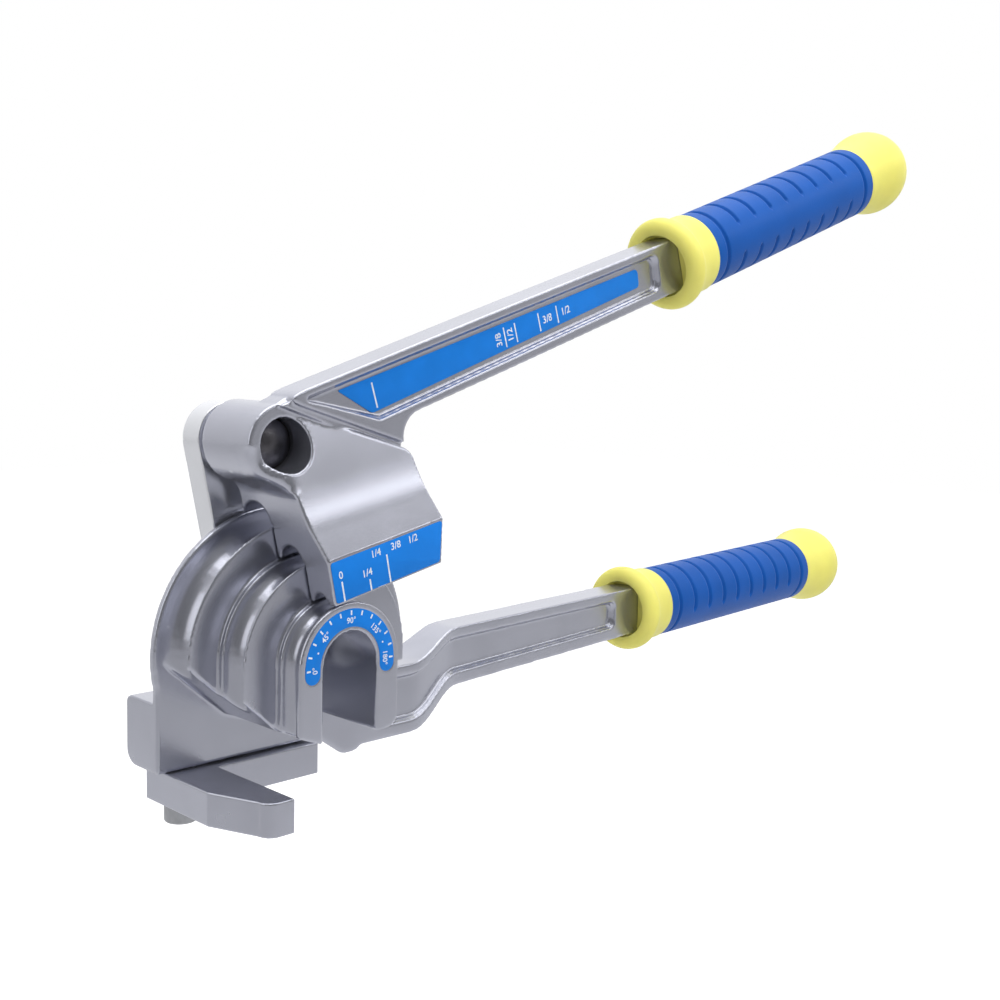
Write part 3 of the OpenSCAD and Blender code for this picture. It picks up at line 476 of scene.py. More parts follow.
def cast_paint(name, paint):
    """Satin silver finish over a casting, brightened along its edges as rubbed wear and painted highlight,
    and darkened in its inner corners with painted shade
    """
    cast = settings("cast")
    material, tree, shader = start_material(name, Metallic=0.88)
    wear_highlight_and_shade = place_group(tree, "edge_wear_highlight_and_corner_shade", {"Edge From": 0.56, "Edge To": 0.68})
    grain = place_group(tree, "surface_grain", {"Fine Scale": 2300.0, "Broad Scale": 45.0})
    tone = two_tone(tree, grain["Tone"], (0.3, 0.7), paint, 0.94, 1.05)
    flake = mixed(tree, ranged(tree, grain["Speck"], 0.35, 0.7, 0.0, 0.07), tone, rgba(cast.worn_and_lit))
    # Painted shade: the paint darkens in inner corners and creases
    shaded = mixed(tree, ranged(tree, wear_highlight_and_shade["Corner"], 0.0, 1.0, 0.0, 0.55), flake, tinted(paint, 0.45))
    # Painted highlight and wear: the edges turn to the bright rubbed colour
    colour = mixed(tree, ranged(tree, wear_highlight_and_shade["Edge"], 0.0, 1.0, 0.0, 0.85), shaded, rgba(cast.worn_and_lit))
    set_finish(tree, shader, colour, grain["Tone"], (0.25, 0.75), (0.23, 0.28))
    set_bump(tree, shader, grain["Height"], 0.06, 0.05 * MM)
    return material


def turned_metal(name, colour, axis, centre=(0.0, 0.0, 0.0), rough=(0.26, 0.42)):
    """Lathe-turned metal with fine rings and slight stains"""
    material, tree, shader = start_material(name, Metallic=1.0)
    rings = place_group(tree, "turning_rings", {"Centre": centre})
    tone = two_tone(tree, rings["Stain"], (0.35, 0.7), colour, 0.7)
    set_finish(tree, shader, tone, rings["Stain"], (0.3, 0.7), rough)
    set_bump(tree, shader, rings["Along " + axis], 0.25, 0.02 * MM)
    return material


def label_print():
    """Bright printed vinyl with a faint grain"""
    material, tree, shader = start_material("label_print", Specular_IOR_Level=0.15)
    grain = place_group(tree, "surface_grain", {"Fine Scale": 3200.0, "Broad Scale": 70.0})
    colour = two_tone(tree, grain["Tone"], (0.3, 0.7), settings("label").blue, 0.86)
    set_finish(tree, shader, colour, grain["Speck"], (0.3, 0.7), (0.36, 0.5))
    set_bump(tree, shader, grain["Height"], 0.08, 0.02 * MM)
    return material


def label_ink():
    """White ink with slightly uneven cover"""
    material, tree, shader = start_material("label_ink", Specular_IOR_Level=0.3)
    grain = place_group(tree, "surface_grain", {"Fine Scale": 4200.0, "Broad Scale": 400.0})
    colour = two_tone(tree, grain["Tone"], (0.35, 0.6), settings("label").ink, 0.84)
    set_finish(tree, shader, colour, grain["Speck"], (0.3, 0.7), (0.45, 0.6))
    return material


def moulded_plastic(name, colour, rough, fine_scale, bump, soft):
    """Moulded plastic or rubber with a fine texture, darker in its inner corners with painted shade, and
    paler along its edges with painted highlight and wear
    """
    material, tree, shader = start_material(
        name, Specular_IOR_Level=0.24, Subsurface_Weight=soft, Subsurface_Scale=1.0,
        Subsurface_Radius=(2.0 * MM, 1.6 * MM, 0.4 * MM))
    grain = place_group(tree, "surface_grain", {"Fine Scale": fine_scale, "Broad Scale": 55.0})
    wear_highlight_and_shade = place_group(tree, "edge_wear_highlight_and_corner_shade", {"Edge From": 0.54, "Edge To": 0.66})
    tone = two_tone(tree, grain["Tone"], (0.3, 0.7), colour, 0.9)
    # Painted shade: darker in inner corners and grooves
    corner_shaded = mixed(tree, ranged(tree, wear_highlight_and_shade["Corner"], 0.0, 1.0, 0.0, 0.5), tone, tinted(colour, 0.4))
    # Paler edge colour: a painted highlight and wear along the edges
    pale = rgba(0.82 * part + 0.12 for part in colour)
    shade = mixed(tree, ranged(tree, wear_highlight_and_shade["Edge"], 0.0, 1.0, 0.0, 0.3), corner_shaded, pale)
    set_finish(tree, shader, shade, grain["Speck"], (0.3, 0.7), rough)
    set_bump(tree, shader, grain["Height"], bump, 0.05 * MM)
    return material


# Mesh helpers

def arc(centre_s, centre_r, radius, start, stop, steps):
    """Points (s, r) of an arc, with angles in degrees from the direction of s"""
    angles = [math.radians(start + (stop - start) * i / steps) for i in range(steps + 1)]
    return [(centre_s + radius * math.cos(a), centre_r + radius * math.sin(a)) for a in angles]


def curve_points(points, steps):
    """Points of a quadratic curve through a start, a pull and an end"""
    start, pull, end = (Vector(point) for point in points)
    spots = [i / steps for i in range(steps + 1)]
    return [tuple(start.lerp(pull, t).lerp(pull.lerp(end, t), t)) for t in spots]


def lathe(points, steps, closed=False):
    """A bmesh spun about X from points (s, r)"""
    bm = bmesh.new()
    verts = [bm.verts.new((s, 0.0, r)) for s, r in points]
    pairs = list(zip(verts, verts[1:]))
    if closed:
        pairs.append((verts[-1], verts[0]))
    edges = [bm.edges.new(pair) for pair in pairs]
    bmesh.ops.spin(bm, geom=verts + edges, cent=(0, 0, 0), axis=(1, 0, 0), angle=math.tau,
                   steps=steps, use_merge=True)
    bmesh.ops.remove_doubles(bm, verts=bm.verts, dist=WELD)
    bmesh.ops.recalc_face_normals(bm, faces=bm.faces)
    return bm


def extrude_edges(bm, edges):
    """Extrudes edges where they are, and returns the new vertices and edges"""
    made = bmesh.ops.extrude_edge_only(bm, edges=edges)["geom"]
    verts = [item for item in made if isinstance(item, bmesh.types.BMVert)]
    return verts, [item for item in made if isinstance(item, bmesh.types.BMEdge)]


def ring_section(s_from, s_to, inner, outer, edge):
    """Chamfered section of a washer or ring, as points (s, r)"""
    return [
        (s_from, inner + edge), (s_from + edge, inner), (s_to - edge, inner), (s_to, inner + edge),
        (s_to, outer - edge), (s_to - edge, outer), (s_from + edge, outer), (s_from, outer - edge),
    ]


def add_piece(mesh, name, body, material, stands_for=(), sharp=35.0):
    """A shown piece from a finished mesh: smooth shaded, riding on its body"""
    mesh.name = name
    mesh.materials.clear()
    mesh.materials.append(material)
    mesh.shade_smooth()
    if sharp is not None:
        mesh.set_sharp_from_angle(angle=math.radians(sharp))
    piece = bpy.data.objects.new(name, mesh)
    bpy.context.scene.collection.objects.link(piece)
    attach(piece, body)
    if stands_for:
        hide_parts(*stands_for)


def as_mesh(bm, place=None):
    """The bmesh as a mesh, put in its place"""
    if place is not None:
        bmesh.ops.transform(bm, matrix=place, verts=bm.verts)
    mesh = bpy.data.meshes.new("piece")
    bm.to_mesh(mesh)
    bm.free()
    return mesh


def node_copy(node):
    """A CAD node's mesh as a bmesh, with the corners of its triangles joined"""
    bm = bmesh.new()
    bm.from_mesh(NODES[node].data)
    bmesh.ops.remove_doubles(bm, verts=bm.verts, dist=CAD_WELD)
    return bm


# Fewer triangles than this mean that a casting's skin came out empty
LEAST_TRIANGLES = 200


def cast_skin(node, voxel, turn, blend=None):
    """A cast surface over a CAD node, meshed along a turned frame, with its edges rounded"""
    cast = settings("cast")
    blank = bpy.data.objects.new("blank", as_mesh(node_copy(node), turn.inverted()))
    blank.matrix_world = turn
    bpy.context.scene.collection.objects.link(blank)
    remesh = blank.modifiers.new("skin", "REMESH")
    remesh.mode = "VOXEL"
    remesh.voxel_size = voxel
    remesh.use_smooth_shade = True
    settle = blank.modifiers.new("settle", "SHRINKWRAP")
    settle.target = NODES[node]
    relax = blank.modifiers.new("round", "SMOOTH")
    relax.factor = 0.5
    relax.iterations = cast.round_passes
    rounded = evaluated_mesh(blank)
    blank.modifiers.clear()
    blank.data = rounded
    if blend is not None:
        soften(rounded, blend, cast.ring_passes)
    join = blank.modifiers.new("join", "DECIMATE")
    join.decimate_type = "DISSOLVE"
    join.angle_limit = cast.flat_angle
    blank.modifiers.new("flats", "WEIGHTED_NORMAL")
    skin = evaluated_mesh(blank)
    skin.calc_loop_triangles()
    triangles = len(skin.loop_triangles)
    if not LEAST_TRIANGLES < triangles < cast.most_triangles:
        raise RuntimeError(f"the skin of {node} has {triangles} triangles")
    bpy.data.objects.remove(blank)
    skin.transform(turn)
    return skin


def soften(mesh, chosen, passes):
    """Smooths the part of a mesh whose points are chosen"""
    bm = bmesh.new()
    bm.from_mesh(mesh)
    verts = [vert for vert in bm.verts if chosen(vert.co)]
    for _ in range(passes):
        bmesh.ops.smooth_vert(bm, verts=verts, factor=0.5, use_axis_x=True, use_axis_y=True, use_axis_z=True)
    bm.to_mesh(mesh)
    bm.free()


# The blend under the lever's ring: its angles round the ring in degrees, how far outside the hole it starts,
# how far past the ring it goes, and how far before and behind the ring's face
RING_BLEND_ANGLES = (170, 268)
RING_BLEND_INSIDE = 0.9 * MM
RING_BLEND_OUTSIDE = 1.2 * MM
RING_BLEND_DEPTH = 7 * MM


def on_ring_blend(spot):
    """Whether a point in the tube's straight end's frame lies where the lever's ring runs into its slope"""
    cast = settings("cast")
    along, away = spot.x, spot.z - math.hypot(BARREL.x, BARREL.z)
    reach = math.hypot(along, away)
    turn = math.degrees(math.atan2(away, along)) % 360
    first, last = RING_BLEND_ANGLES
    return (cast.ring_inner + RING_BLEND_INSIDE < reach < cast.ring_outer + RING_BLEND_OUTSIDE
            and first < turn < last and abs(spot.y - cast.ring_front) < RING_BLEND_DEPTH)


def evaluated_mesh(piece):
    """The piece's mesh with its modifiers applied"""
    bpy.context.view_layer.update()
    graph = bpy.context.evaluated_depsgraph_get()
    return bpy.data.meshes.new_from_object(piece.evaluated_get(graph))


# Labels

def bevel(bm, edges, width, segments):
    """Rounds edges to a width"""
    bmesh.ops.bevel(bm, geom=edges, offset=width, offset_type="OFFSET", affect="EDGES", segments=segments,
                    profile=0.5, material=-1)


def label_plate(node, corner):
    """A CAD label with rounded corners and a softened printed edge"""
    flat_angle, corner_angle, rim_angle = (math.radians(angle) for angle in (1, 25, 60))
    rim_width = 0.08 * MM
    bm = node_copy(node)
    bmesh.ops.dissolve_limit(bm, angle_limit=flat_angle, verts=bm.verts, edges=bm.edges)
    along = Vector((0, 1, 0))
    corners = [edge for edge in bm.edges
               if abs((edge.verts[0].co - edge.verts[1].co).normalized().dot(along)) > 0.99
               and edge.calc_face_angle(0.0) > corner_angle]
    if corners:
        bevel(bm, corners, corner, 6)
    front = min(vert.co.y for vert in bm.verts)
    rim = [edge for edge in bm.edges
           if all(abs(vert.co.y - front) < SAME_PLACE for vert in edge.verts)
           and edge.calc_face_angle(0.0) > rim_angle]
    bevel(bm, rim, rim_width, 2)
    return as_mesh(bm)


def add_line(bm, place, length, width, height):
    """A printed line along the local Z of its place, standing on the plane of local X and Z"""
    size = Matrix.Diagonal((width, height, length, 1.0))
    bmesh.ops.create_cube(bm, size=1.0, matrix=place @ size)


def add_number(bm, text, size, place, height):
    """Printed figures in the local X and Z plane of their place"""
    curve = bpy.data.curves.new("figures", "FONT")
    curve.body = text
    curve.size = size
    curve.align_x = "CENTER"
    curve.align_y = "CENTER"
    curve.extrude = height / 2
    curve.offset = settings("label").boldness * size
    curve.resolution_u = 4
    figures = bpy.data.objects.new("figures", curve)
    bpy.context.scene.collection.objects.link(figures)
    mesh = evaluated_mesh(figures)
    mesh.transform(place @ TO_FRONT)
    bm.from_mesh(mesh)
    bpy.data.meshes.remove(mesh)
    bpy.data.objects.remove(figures)
    bpy.data.curves.remove(curve)


# Angles of the degree scale that carry a number, and those that carry a dot
NUMBERED_DEGREES = (0, 45, 90, 135, 180)
DOTTED_DEGREES = (22.5, 157.5)


def on_degree_scale(angle, radius):
    """Place on the degree label at an angle from its left end and a distance from the bend centre"""
    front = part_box("degree_label")[0].y
    return Matrix.Rotation(angle - math.pi / 2, 4, "Y") @ Matrix.Translation((0, front, radius))


def degree_marks():
    """Ticks, dots and degree numbers of the arched scale"""
    label = settings("label")
    bm = bmesh.new()
    tick_count = round(math.pi / label.tick_step)
    for i in range(tick_count + 1):
        place = on_degree_scale(i * label.tick_step, label.tick_radius)
        add_line(bm, place, label.tick_length, label.line_width, label.ink_height)
    for degrees in NUMBERED_DEGREES:
        place = on_degree_scale(math.radians(degrees), label.number_radius)
        add_number(bm, f"{degrees}°", label.number_size, place, label.ink_height)
    for degrees in DOTTED_DEGREES:
        place = on_degree_scale(math.radians(degrees), label.number_radius)
        add_line(bm, place, label.line_width, label.line_width, label.ink_height)
    return as_mesh(bm)


# Lines of the shoe label: distance along the tube, lower end and upper end of each, in mm
SHOE_LINES = ((0.6, 18.6, 24.2), (10.2, 18.6, 21.8), (17.3, 18.6, 26.8))
# Numbers of the shoe label: text, distance along the tube, distance from the bend centre, in mm
SHOE_NUMBERS = (
    ("0", 0.6, 26.0), ("1/4", 9.6, 23.8), ("1/4", 13.6, 28.3), ("3/8", 21.0, 28.3), ("1/2", 27.5, 28.3),
)
# Lines of the lever strip along the tube, and the middles and lengths of the first and last of them, in mm
STRIP_LINES = (33.0, 88.0, 93.0, 104.0, 112.7)
STRIP_MIDDLES = (68.1, 76.7)
STRIP_LENGTHS = (7.6, 5.7)
# Numbers of the lever strip: text, distance along the tube in mm, turned to read upwards or not
STRIP_NUMBERS = (("3/8", 85.2, True), ("1/2", 90.5, True), ("3/8", 107.9, False), ("1/2", 116.8, False))


def shoe_marks():
    """Zero line, tube size lines and numbers on the shoe's label"""
    label = settings("label")
    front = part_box("shoe_label")[0].y
    bm = bmesh.new()
    for along, low, high in SHOE_LINES:
        spot = Matrix.Translation((along * MM, front, (low + high) / 2 * MM))
        add_line(bm, TUBE_END @ spot, (high - low) * MM, label.line_width, label.ink_height)
    for text, along, away in SHOE_NUMBERS:
        spot = Matrix.Translation((along * MM, front, away * MM))
        add_number(bm, text, label.shoe_size, TUBE_END @ spot, label.ink_height)
    return as_mesh(bm)


def strip_marks():
    """Tube size lines and numbers on the lever's strip label"""
    label = settings("label")
    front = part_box("lever_label")[0].y
    first, last = STRIP_LINES[0], STRIP_LINES[-1]
    slope = math.atan2(STRIP_MIDDLES[1] - STRIP_MIDDLES[0], last - first)
    lean = Matrix.Rotation(-slope, 4, "Y")
    upright = Matrix.Rotation(math.radians(-90), 4, "Y")
    bm = bmesh.new()

    def between(ends, along):
        return ends[0] + (ends[1] - ends[0]) * (along - first) / (last - first)

    def spot_at(along):
        return TUBE_END @ Matrix.Translation((along * MM, front, between(STRIP_MIDDLES, along) * MM)) @ lean

    for along in STRIP_LINES:
        length = between(STRIP_LENGTHS, along) * MM
        add_line(bm, spot_at(along), length, label.line_width, label.ink_height)
    for text, along, turned in STRIP_NUMBERS:
        spot = spot_at(along)
        add_number(bm, text, label.strip_size, spot @ upright if turned else spot, label.ink_height)
    return as_mesh(bm)


# Grips

def grip_places():
    """Where both grips start, with X along the grip: the middle of each sleeve comes from the frame"""
    grip = settings("grip")
    turns = {
        "upper": TUBE_END @ Matrix.Rotation(-grip.upper_rise, 4, "Y"),
        "lower": Matrix.Rotation(grip.lower_splay, 4, "Z") @ Matrix.Rotation(-grip.lower_tilt, 4, "Y"),
    }
    back = Matrix.Translation((-grip.collar_length - grip.sleeve_length / 2, 0, 0))
    places = {}
    for side, turn in turns.items():
        low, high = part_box(side + "_sleeve")
        places[side] = Matrix.Translation((low + high) / 2) @ turn @ back
    return places


# Gap between a sleeve and the collar or cap beside it
GRIP_GAP = 0.05 * MM


def collar_mesh(place):
    """Flared collar with a rounded flange, a waisted neck and a web that closes on the bar"""
    grip = settings("grip")
    ring = grip.flange_width / 2
    ring_r = grip.collar_d / 2 - ring
    bore = grip.bore / 2
    neck = grip.sleeve_d / 2 + 0.4 * MM
    end = grip.collar_length - GRIP_GAP
    edge = 0.5 * MM
    web, web_thickness = 4.2 * MM, 2 * MM
    points = [(web, bore), (ring + 0.2 * MM, bore)]
    points += arc(ring, ring_r, ring, 207, 40, 20)
    waist = 0.72 * grip.collar_length
    points += curve_points((points[-1], (0.5 * grip.collar_length, neck + 0.3 * MM), (waist, neck)), 8)[1:]
    points += arc(end - edge, neck - edge, edge, 90, 0, 4)
    points += [(end, bore), (web + web_thickness, bore)]
    bm = lathe(points, GRIP_STEPS)
    bridge_to_slot(bm, web)
    bridge_to_slot(bm, web + web_thickness)
    bmesh.ops.recalc_face_normals(bm, faces=bm.faces)
    return as_mesh(bm, place)


def put_at(vert, angle, reach):
    """Moves a vertex to a distance from the X axis, in a direction round it"""
    vert.co.y = reach * math.cos(angle)
    vert.co.z = reach * math.sin(angle)


def bridge_to_slot(bm, s):
    """Closes a round opening at s down to the rounded slot that the bar passes through"""
    grip = settings("grip")
    rim = [edge for edge in bm.edges
           if edge.is_boundary and all(abs(vert.co.x - s) < SAME_PLACE for vert in edge.verts)]
    play, squareness = 0.15 * MM, 6.0
    half_y = grip.bar_width / 2 + play
    half_z = grip.bar_height / 2 + play
    for vert in extrude_edges(bm, rim)[0]:
        angle = math.atan2(vert.co.z, vert.co.y)
        across = abs(math.cos(angle) / half_y) ** squareness
        upward = abs(math.sin(angle) / half_z) ** squareness
        put_at(vert, angle, (across + upward) ** (-1 / squareness))


# Where a sleeve's mesh has rings: across a groove, in halves of its width, and between grooves, in shares
# of the step from one to the next
GROOVE_RINGS = (-1.7, -1.2, -0.95, -0.7, -0.4, 0.0, 0.4, 0.7, 0.95, 1.2, 1.7)
LAND_RINGS = (0.3, 0.42, 0.54, 0.66, 0.78)


def sleeve_mesh(place, turn):
    """Rubber sleeve with two rows of short grooves and a full groove near each end"""
    grip = settings("grip")
    start = grip.collar_length
    stop = start + grip.sleeve_length
    outer = grip.sleeve_d / 2
    half = grip.rib_width / 2
    run_out = 1.6 * half
    rings = [start + grip.end_rib, stop - grip.end_rib]
    step = (rings[1] - rings[0]) / (grip.rib_count + 1)
    ribs = [rings[0] + i * step for i in range(1, grip.rib_count + 1)]
    spots = []
    for rib in sorted(ribs + rings):
        spots += [rib + half * share for share in GROOVE_RINGS]
    spots += [rib + step * share for rib in ribs[:-1] for share in LAND_RINGS]
    edge = 0.4 * MM
    points = [(start, grip.bore / 2), (start, outer - edge)]
    points += arc(start + edge, outer - edge, edge, 180, 90, 4)[1:]
    points += [(s, outer) for s in sorted(spots)]
    points += arc(stop - edge, outer - edge, edge, 90, 0, 4)
    points += [(stop, grip.bore / 2)]
    bm = lathe(points, SLEEVE_STEPS, closed=True)
    for vert in bm.verts:
        reach = math.hypot(vert.co.y, vert.co.z)
        if reach < outer - edge / 2 or vert.co.x < start + edge or vert.co.x > stop - edge:
            continue
        angle = math.atan2(vert.co.z, vert.co.y) - turn
        cut = max(groove_cut(vert.co.x - ring, half) for ring in rings)
        row = abs((angle + math.pi / 2) % math.pi - math.pi / 2)
        fade = min(1.0, (grip.rib_arc / 2 - row) * outer / run_out)
        if fade > 0:
            widest = half * math.sqrt(fade)
            cut = max(cut, max(groove_cut(vert.co.x - rib, widest) for rib in ribs) * fade)
        scale = (outer - cut * grip.rib_depth) / reach
        vert.co.y *= scale
        vert.co.z *= scale
    bmesh.ops.recalc_face_normals(bm, faces=bm.faces)
    return as_mesh(bm, place)


def groove_cut(distance, half):
    """Depth share of a round-lipped groove at a distance from its middle"""
    lip, floor = 1.25, 0.55
    t = min(1.0, max(0.0, (lip - abs(distance) / half) / (lip - floor)))
    return t * t * (3 - 2 * t)


def cap_mesh(place):
    """Domed end cap that flares out of the sleeve's end"""
    grip = settings("grip")
    start = grip.collar_length + grip.sleeve_length + GRIP_GAP
    centre = start + grip.cap_flare
    radius = grip.cap_d / 2
    lip = grip.sleeve_d / 2 - 0.1 * MM
    edge = 0.5 * MM
    points = [(start, 0.0)]
    points += arc(start + edge, lip - edge, edge, 180, 100, 3)
    meet = arc(centre, 0.0, radius, 108, 0, 28)
    points += curve_points((points[-1], (start + 6.0 * MM, lip + 0.3 * MM), meet[0]), 10)[1:-1]
    points += meet[:-1]
    points += [(centre + radius, 0.0)]
    return as_mesh(lathe(points, GRIP_STEPS), place)


# Hardware

def along_y(centre):
    """Place of a turned piece whose X runs back along Y through a centre"""
    return Matrix.Translation((centre[0], 0, centre[2])) @ X_TO_Y


def along_z(centre):
    """Place of a turned piece whose X runs up along Z through a centre"""
    return Matrix.Translation((centre[0], centre[1], 0)) @ X_TO_Z


def to_hexagon(verts, flat):
    """Moves vertices out to a hexagon's sides, and returns how far each then is from the axis"""
    reaches = []
    for vert in verts:
        angle = math.atan2(vert.co.z, vert.co.y)
        reaches.append(flat / math.cos((angle % (math.pi / 3)) - math.pi / 6))
        put_at(vert, angle, reaches[-1])
    return reaches


def pivot_bore():
    """Radius of a hole that passes the bend bolt or the pivot pin"""
    hardware = settings("hardware")
    return hardware.pivot_d / 2 + hardware.play


def thread_points(s_from, s_to, radius, pitch):
    """Ridges of a thread between two places"""
    depth, root = 0.55 * pitch, 0.1 * pitch
    count = max(1, int((s_to - s_from) / pitch))
    points = []
    for i in range(count):
        at = s_from + i * pitch
        points += [(at, radius), (at + (pitch - root) / 2, radius - depth)]
        points += [(at + (pitch + root) / 2, radius - depth)]
    return points + [(s_from + count * pitch, radius)]


def socket_bolt_mesh():
    """Bend bolt with a domed socket head and a threaded end"""
    hardware = settings("hardware")
    low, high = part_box("pivot_bolt")
    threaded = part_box("pivot_nut")[0].y
    radius = hardware.pivot_d / 2
    head = (high.x - low.x) / 2
    seat = low.y + hardware.head_height
    edge = hardware.edge
    rim_width, crown, tip = 0.6 * MM, 1.8 * MM, 0.6 * MM
    mouth = hardware.socket_flats / math.sqrt(3) + rim_width
    points = [(low.y, mouth)]
    points += curve_points(((low.y, mouth + 0.2 * MM), (low.y + 0.2 * MM, head - 0.6 * MM),
                            (low.y + crown, head)), 8)
    points += [(seat - edge, head), (seat, head - edge), (seat, radius), (threaded, radius)]
    points += thread_points(threaded + 0.5 * MM, high.y - tip, radius, hardware.thread_pitch)
    points += [(high.y, radius - 1.5 * tip), (high.y, 0.0)]
    bm = lathe(points, HARDWARE_STEPS)
    rim = [item for item in bm.edges if item.is_boundary]
    hexagon, inner = extrude_edges(bm, rim)
    to_hexagon(hexagon, hardware.socket_flats / 2)
    floor = extrude_edges(bm, inner)[0]
    bmesh.ops.translate(bm, verts=floor, vec=(hardware.socket_depth, 0, 0))
    bmesh.ops.holes_fill(bm, edges=[item for item in bm.edges if item.is_boundary], sides=0)
    bmesh.ops.recalc_face_normals(bm, faces=bm.faces)
    return as_mesh(bm, along_y((0, 0, 0)))


def hex_nut_mesh():
    """Hexagon nut with both faces chamfered to a cone"""
    low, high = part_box("pivot_nut")
    flat = min(high.z - low.z, high.x - low.x) / 2
    bore = pivot_bore()
    mouth, rim = 0.5 * MM, 0.2 * MM
    slope = math.tan(math.radians(30))
    points = [(low.y + mouth, bore), (low.y, bore + mouth), (low.y, flat - rim), (low.y, flat)]
    points += [(high.y, flat), (high.y, flat - rim), (high.y, bore + mouth), (high.y - mouth, bore)]
    bm = lathe(points, NUT_STEPS, closed=True)
    sides = [vert for vert in bm.verts if math.hypot(vert.co.y, vert.co.z) > flat - rim / 2]
    for vert, reach in zip(sides, to_hexagon(sides, flat)):
        drop = (reach - flat) * slope
        vert.co.x += drop if vert.co.x < (low.y + high.y) / 2 else -drop
    return as_mesh(bm, along_y((0, 0, 0)))


def washer_mesh(node, place, axis, bore):
    """Flat washer with softened edges in place of a CAD washer, its axis being coordinate 1 (Y) or 2 (Z)"""
    low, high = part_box(node)
    outer = (high.x - low.x) / 2
    section = ring_section(low[axis], high[axis], bore, outer, settings("hardware").edge)
    return as_mesh(lathe(section, HARDWARE_STEPS, closed=True), place)


def pivot_pin_mesh():
    """Pivot pin with a domed head and a chamfered rear end"""
    low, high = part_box("barrel_pin")
    head = (high.x - low.x) / 2
    hardware = settings("hardware")
    shank = hardware.pivot_d / 2
    dome = hardware.dome
    seat = low.y + 2 * dome
    round_r = (head ** 2 + dome ** 2) / (2 * dome)
    spread = math.degrees(math.asin(head / round_r))
    edge, tip = hardware.edge, 0.6 * MM
    points = arc(low.y + round_r, 0.0, round_r, 180, 180 - spread, 14)
    points[0] = (low.y, 0.0)
    points += [(seat - edge, head), (seat, head - edge), (seat, shank)]
    points += [(high.y - tip, shank), (high.y, shank - tip), (high.y, 0.0)]
    return as_mesh(lathe(points, HARDWARE_STEPS), along_y(BARREL))


def spring_ring_mesh():
    """Open spring ring that holds the pivot pin behind the link"""
    low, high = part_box("barrel_pin_ring")
    outer = (high.x - low.x) / 2
    sweep, turn = math.radians(325), math.radians(17)
    bm = bmesh.new()
    section = ring_section(low.y, high.y, pivot_bore(), outer, settings("hardware").edge)
    face = bm.faces.new([bm.verts.new((s, 0.0, r)) for s, r in section])
    bmesh.ops.spin(bm, geom=[face], cent=(0, 0, 0), axis=(1, 0, 0), angle=sweep, steps=90)
    bmesh.ops.rotate(bm, verts=bm.verts, cent=(0, 0, 0), matrix=Matrix.Rotation(turn, 3, "X"))
    bmesh.ops.remove_doubles(bm, verts=bm.verts, dist=WELD)
    bmesh.ops.recalc_face_normals(bm, faces=bm.faces)
    return as_mesh(bm, along_y(BARREL))


def latch_pin_mesh():
    """Latch pin with a rounded head below the latch"""
    low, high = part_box("latch_pin")
    head = (high.x - low.x) / 2
    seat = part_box("latch_washer")[0].z
    hardware = settings("hardware")
    shank = hardware.latch_d / 2
    lip, edge, tip = 0.7 * MM, hardware.edge, 0.5 * MM
    points = [(low.z, 0.0)]
    points += arc(low.z + lip, head - lip, lip, 180, 90, 6)
    points += [(seat - edge, head), (seat, head - edge), (seat, shank)]
    points += [(high.z - tip, shank), (high.z, shank - tip), (high.z, 0.0)]
    return as_mesh(lathe(points, HARDWARE_STEPS), along_z(LATCH))


# Stage

def seen_directly(tree):
    """Whether a ray comes from the camera or through glass, and whether it is a reflection"""
    path = tree.nodes.new("ShaderNodeLightPath").outputs
    seen = add_node(tree, "ShaderNodeMath", {0: path["Is Camera Ray"], 1: path["Is Transmission Ray"]},
                    operation="MAXIMUM")
    return seen.outputs[0], path["Is Glossy Ray"]


# Where reflections turn from dim to bright: the cosine from the bright side, and metres along the floor
WORLD_GRADE = (-0.65, 0.95)
FLOOR_GRADE = (-0.15, 0.35)


def studio_world():
    """Soft even light, white to the camera, with a bright far side and a dim near side in reflections"""
    stage = settings("stage")
    world = bpy.data.worlds.new("studio")
    world.use_nodes = True
    tree = world.node_tree
    tree.nodes.clear()
    seen, glossy = seen_directly(tree)
    ray = tree.nodes.new("ShaderNodeTexCoord").outputs["Generated"]
    towards = add_node(tree, "ShaderNodeVectorMath", {0: ray, 1: Vector(stage.bright_side).normalized()},
                       operation="DOT_PRODUCT")
    graded = ranged(tree, towards.outputs["Value"], *WORLD_GRADE, stage.dim_reflection,
                    stage.bright_reflection)
    even = add_node(tree, "ShaderNodeMix", {0: glossy, 2: stage.ambient, 3: graded})
    strength = add_node(tree, "ShaderNodeMix", {0: seen, 2: even.outputs[0], 3: 1.0})
    light = add_node(tree, "ShaderNodeBackground", {"Color": (1, 1, 1, 1), "Strength": strength.outputs[0]})
    add_node(tree, "ShaderNodeOutputWorld", {"Surface": light.outputs[0]})
    bpy.context.scene.world = world


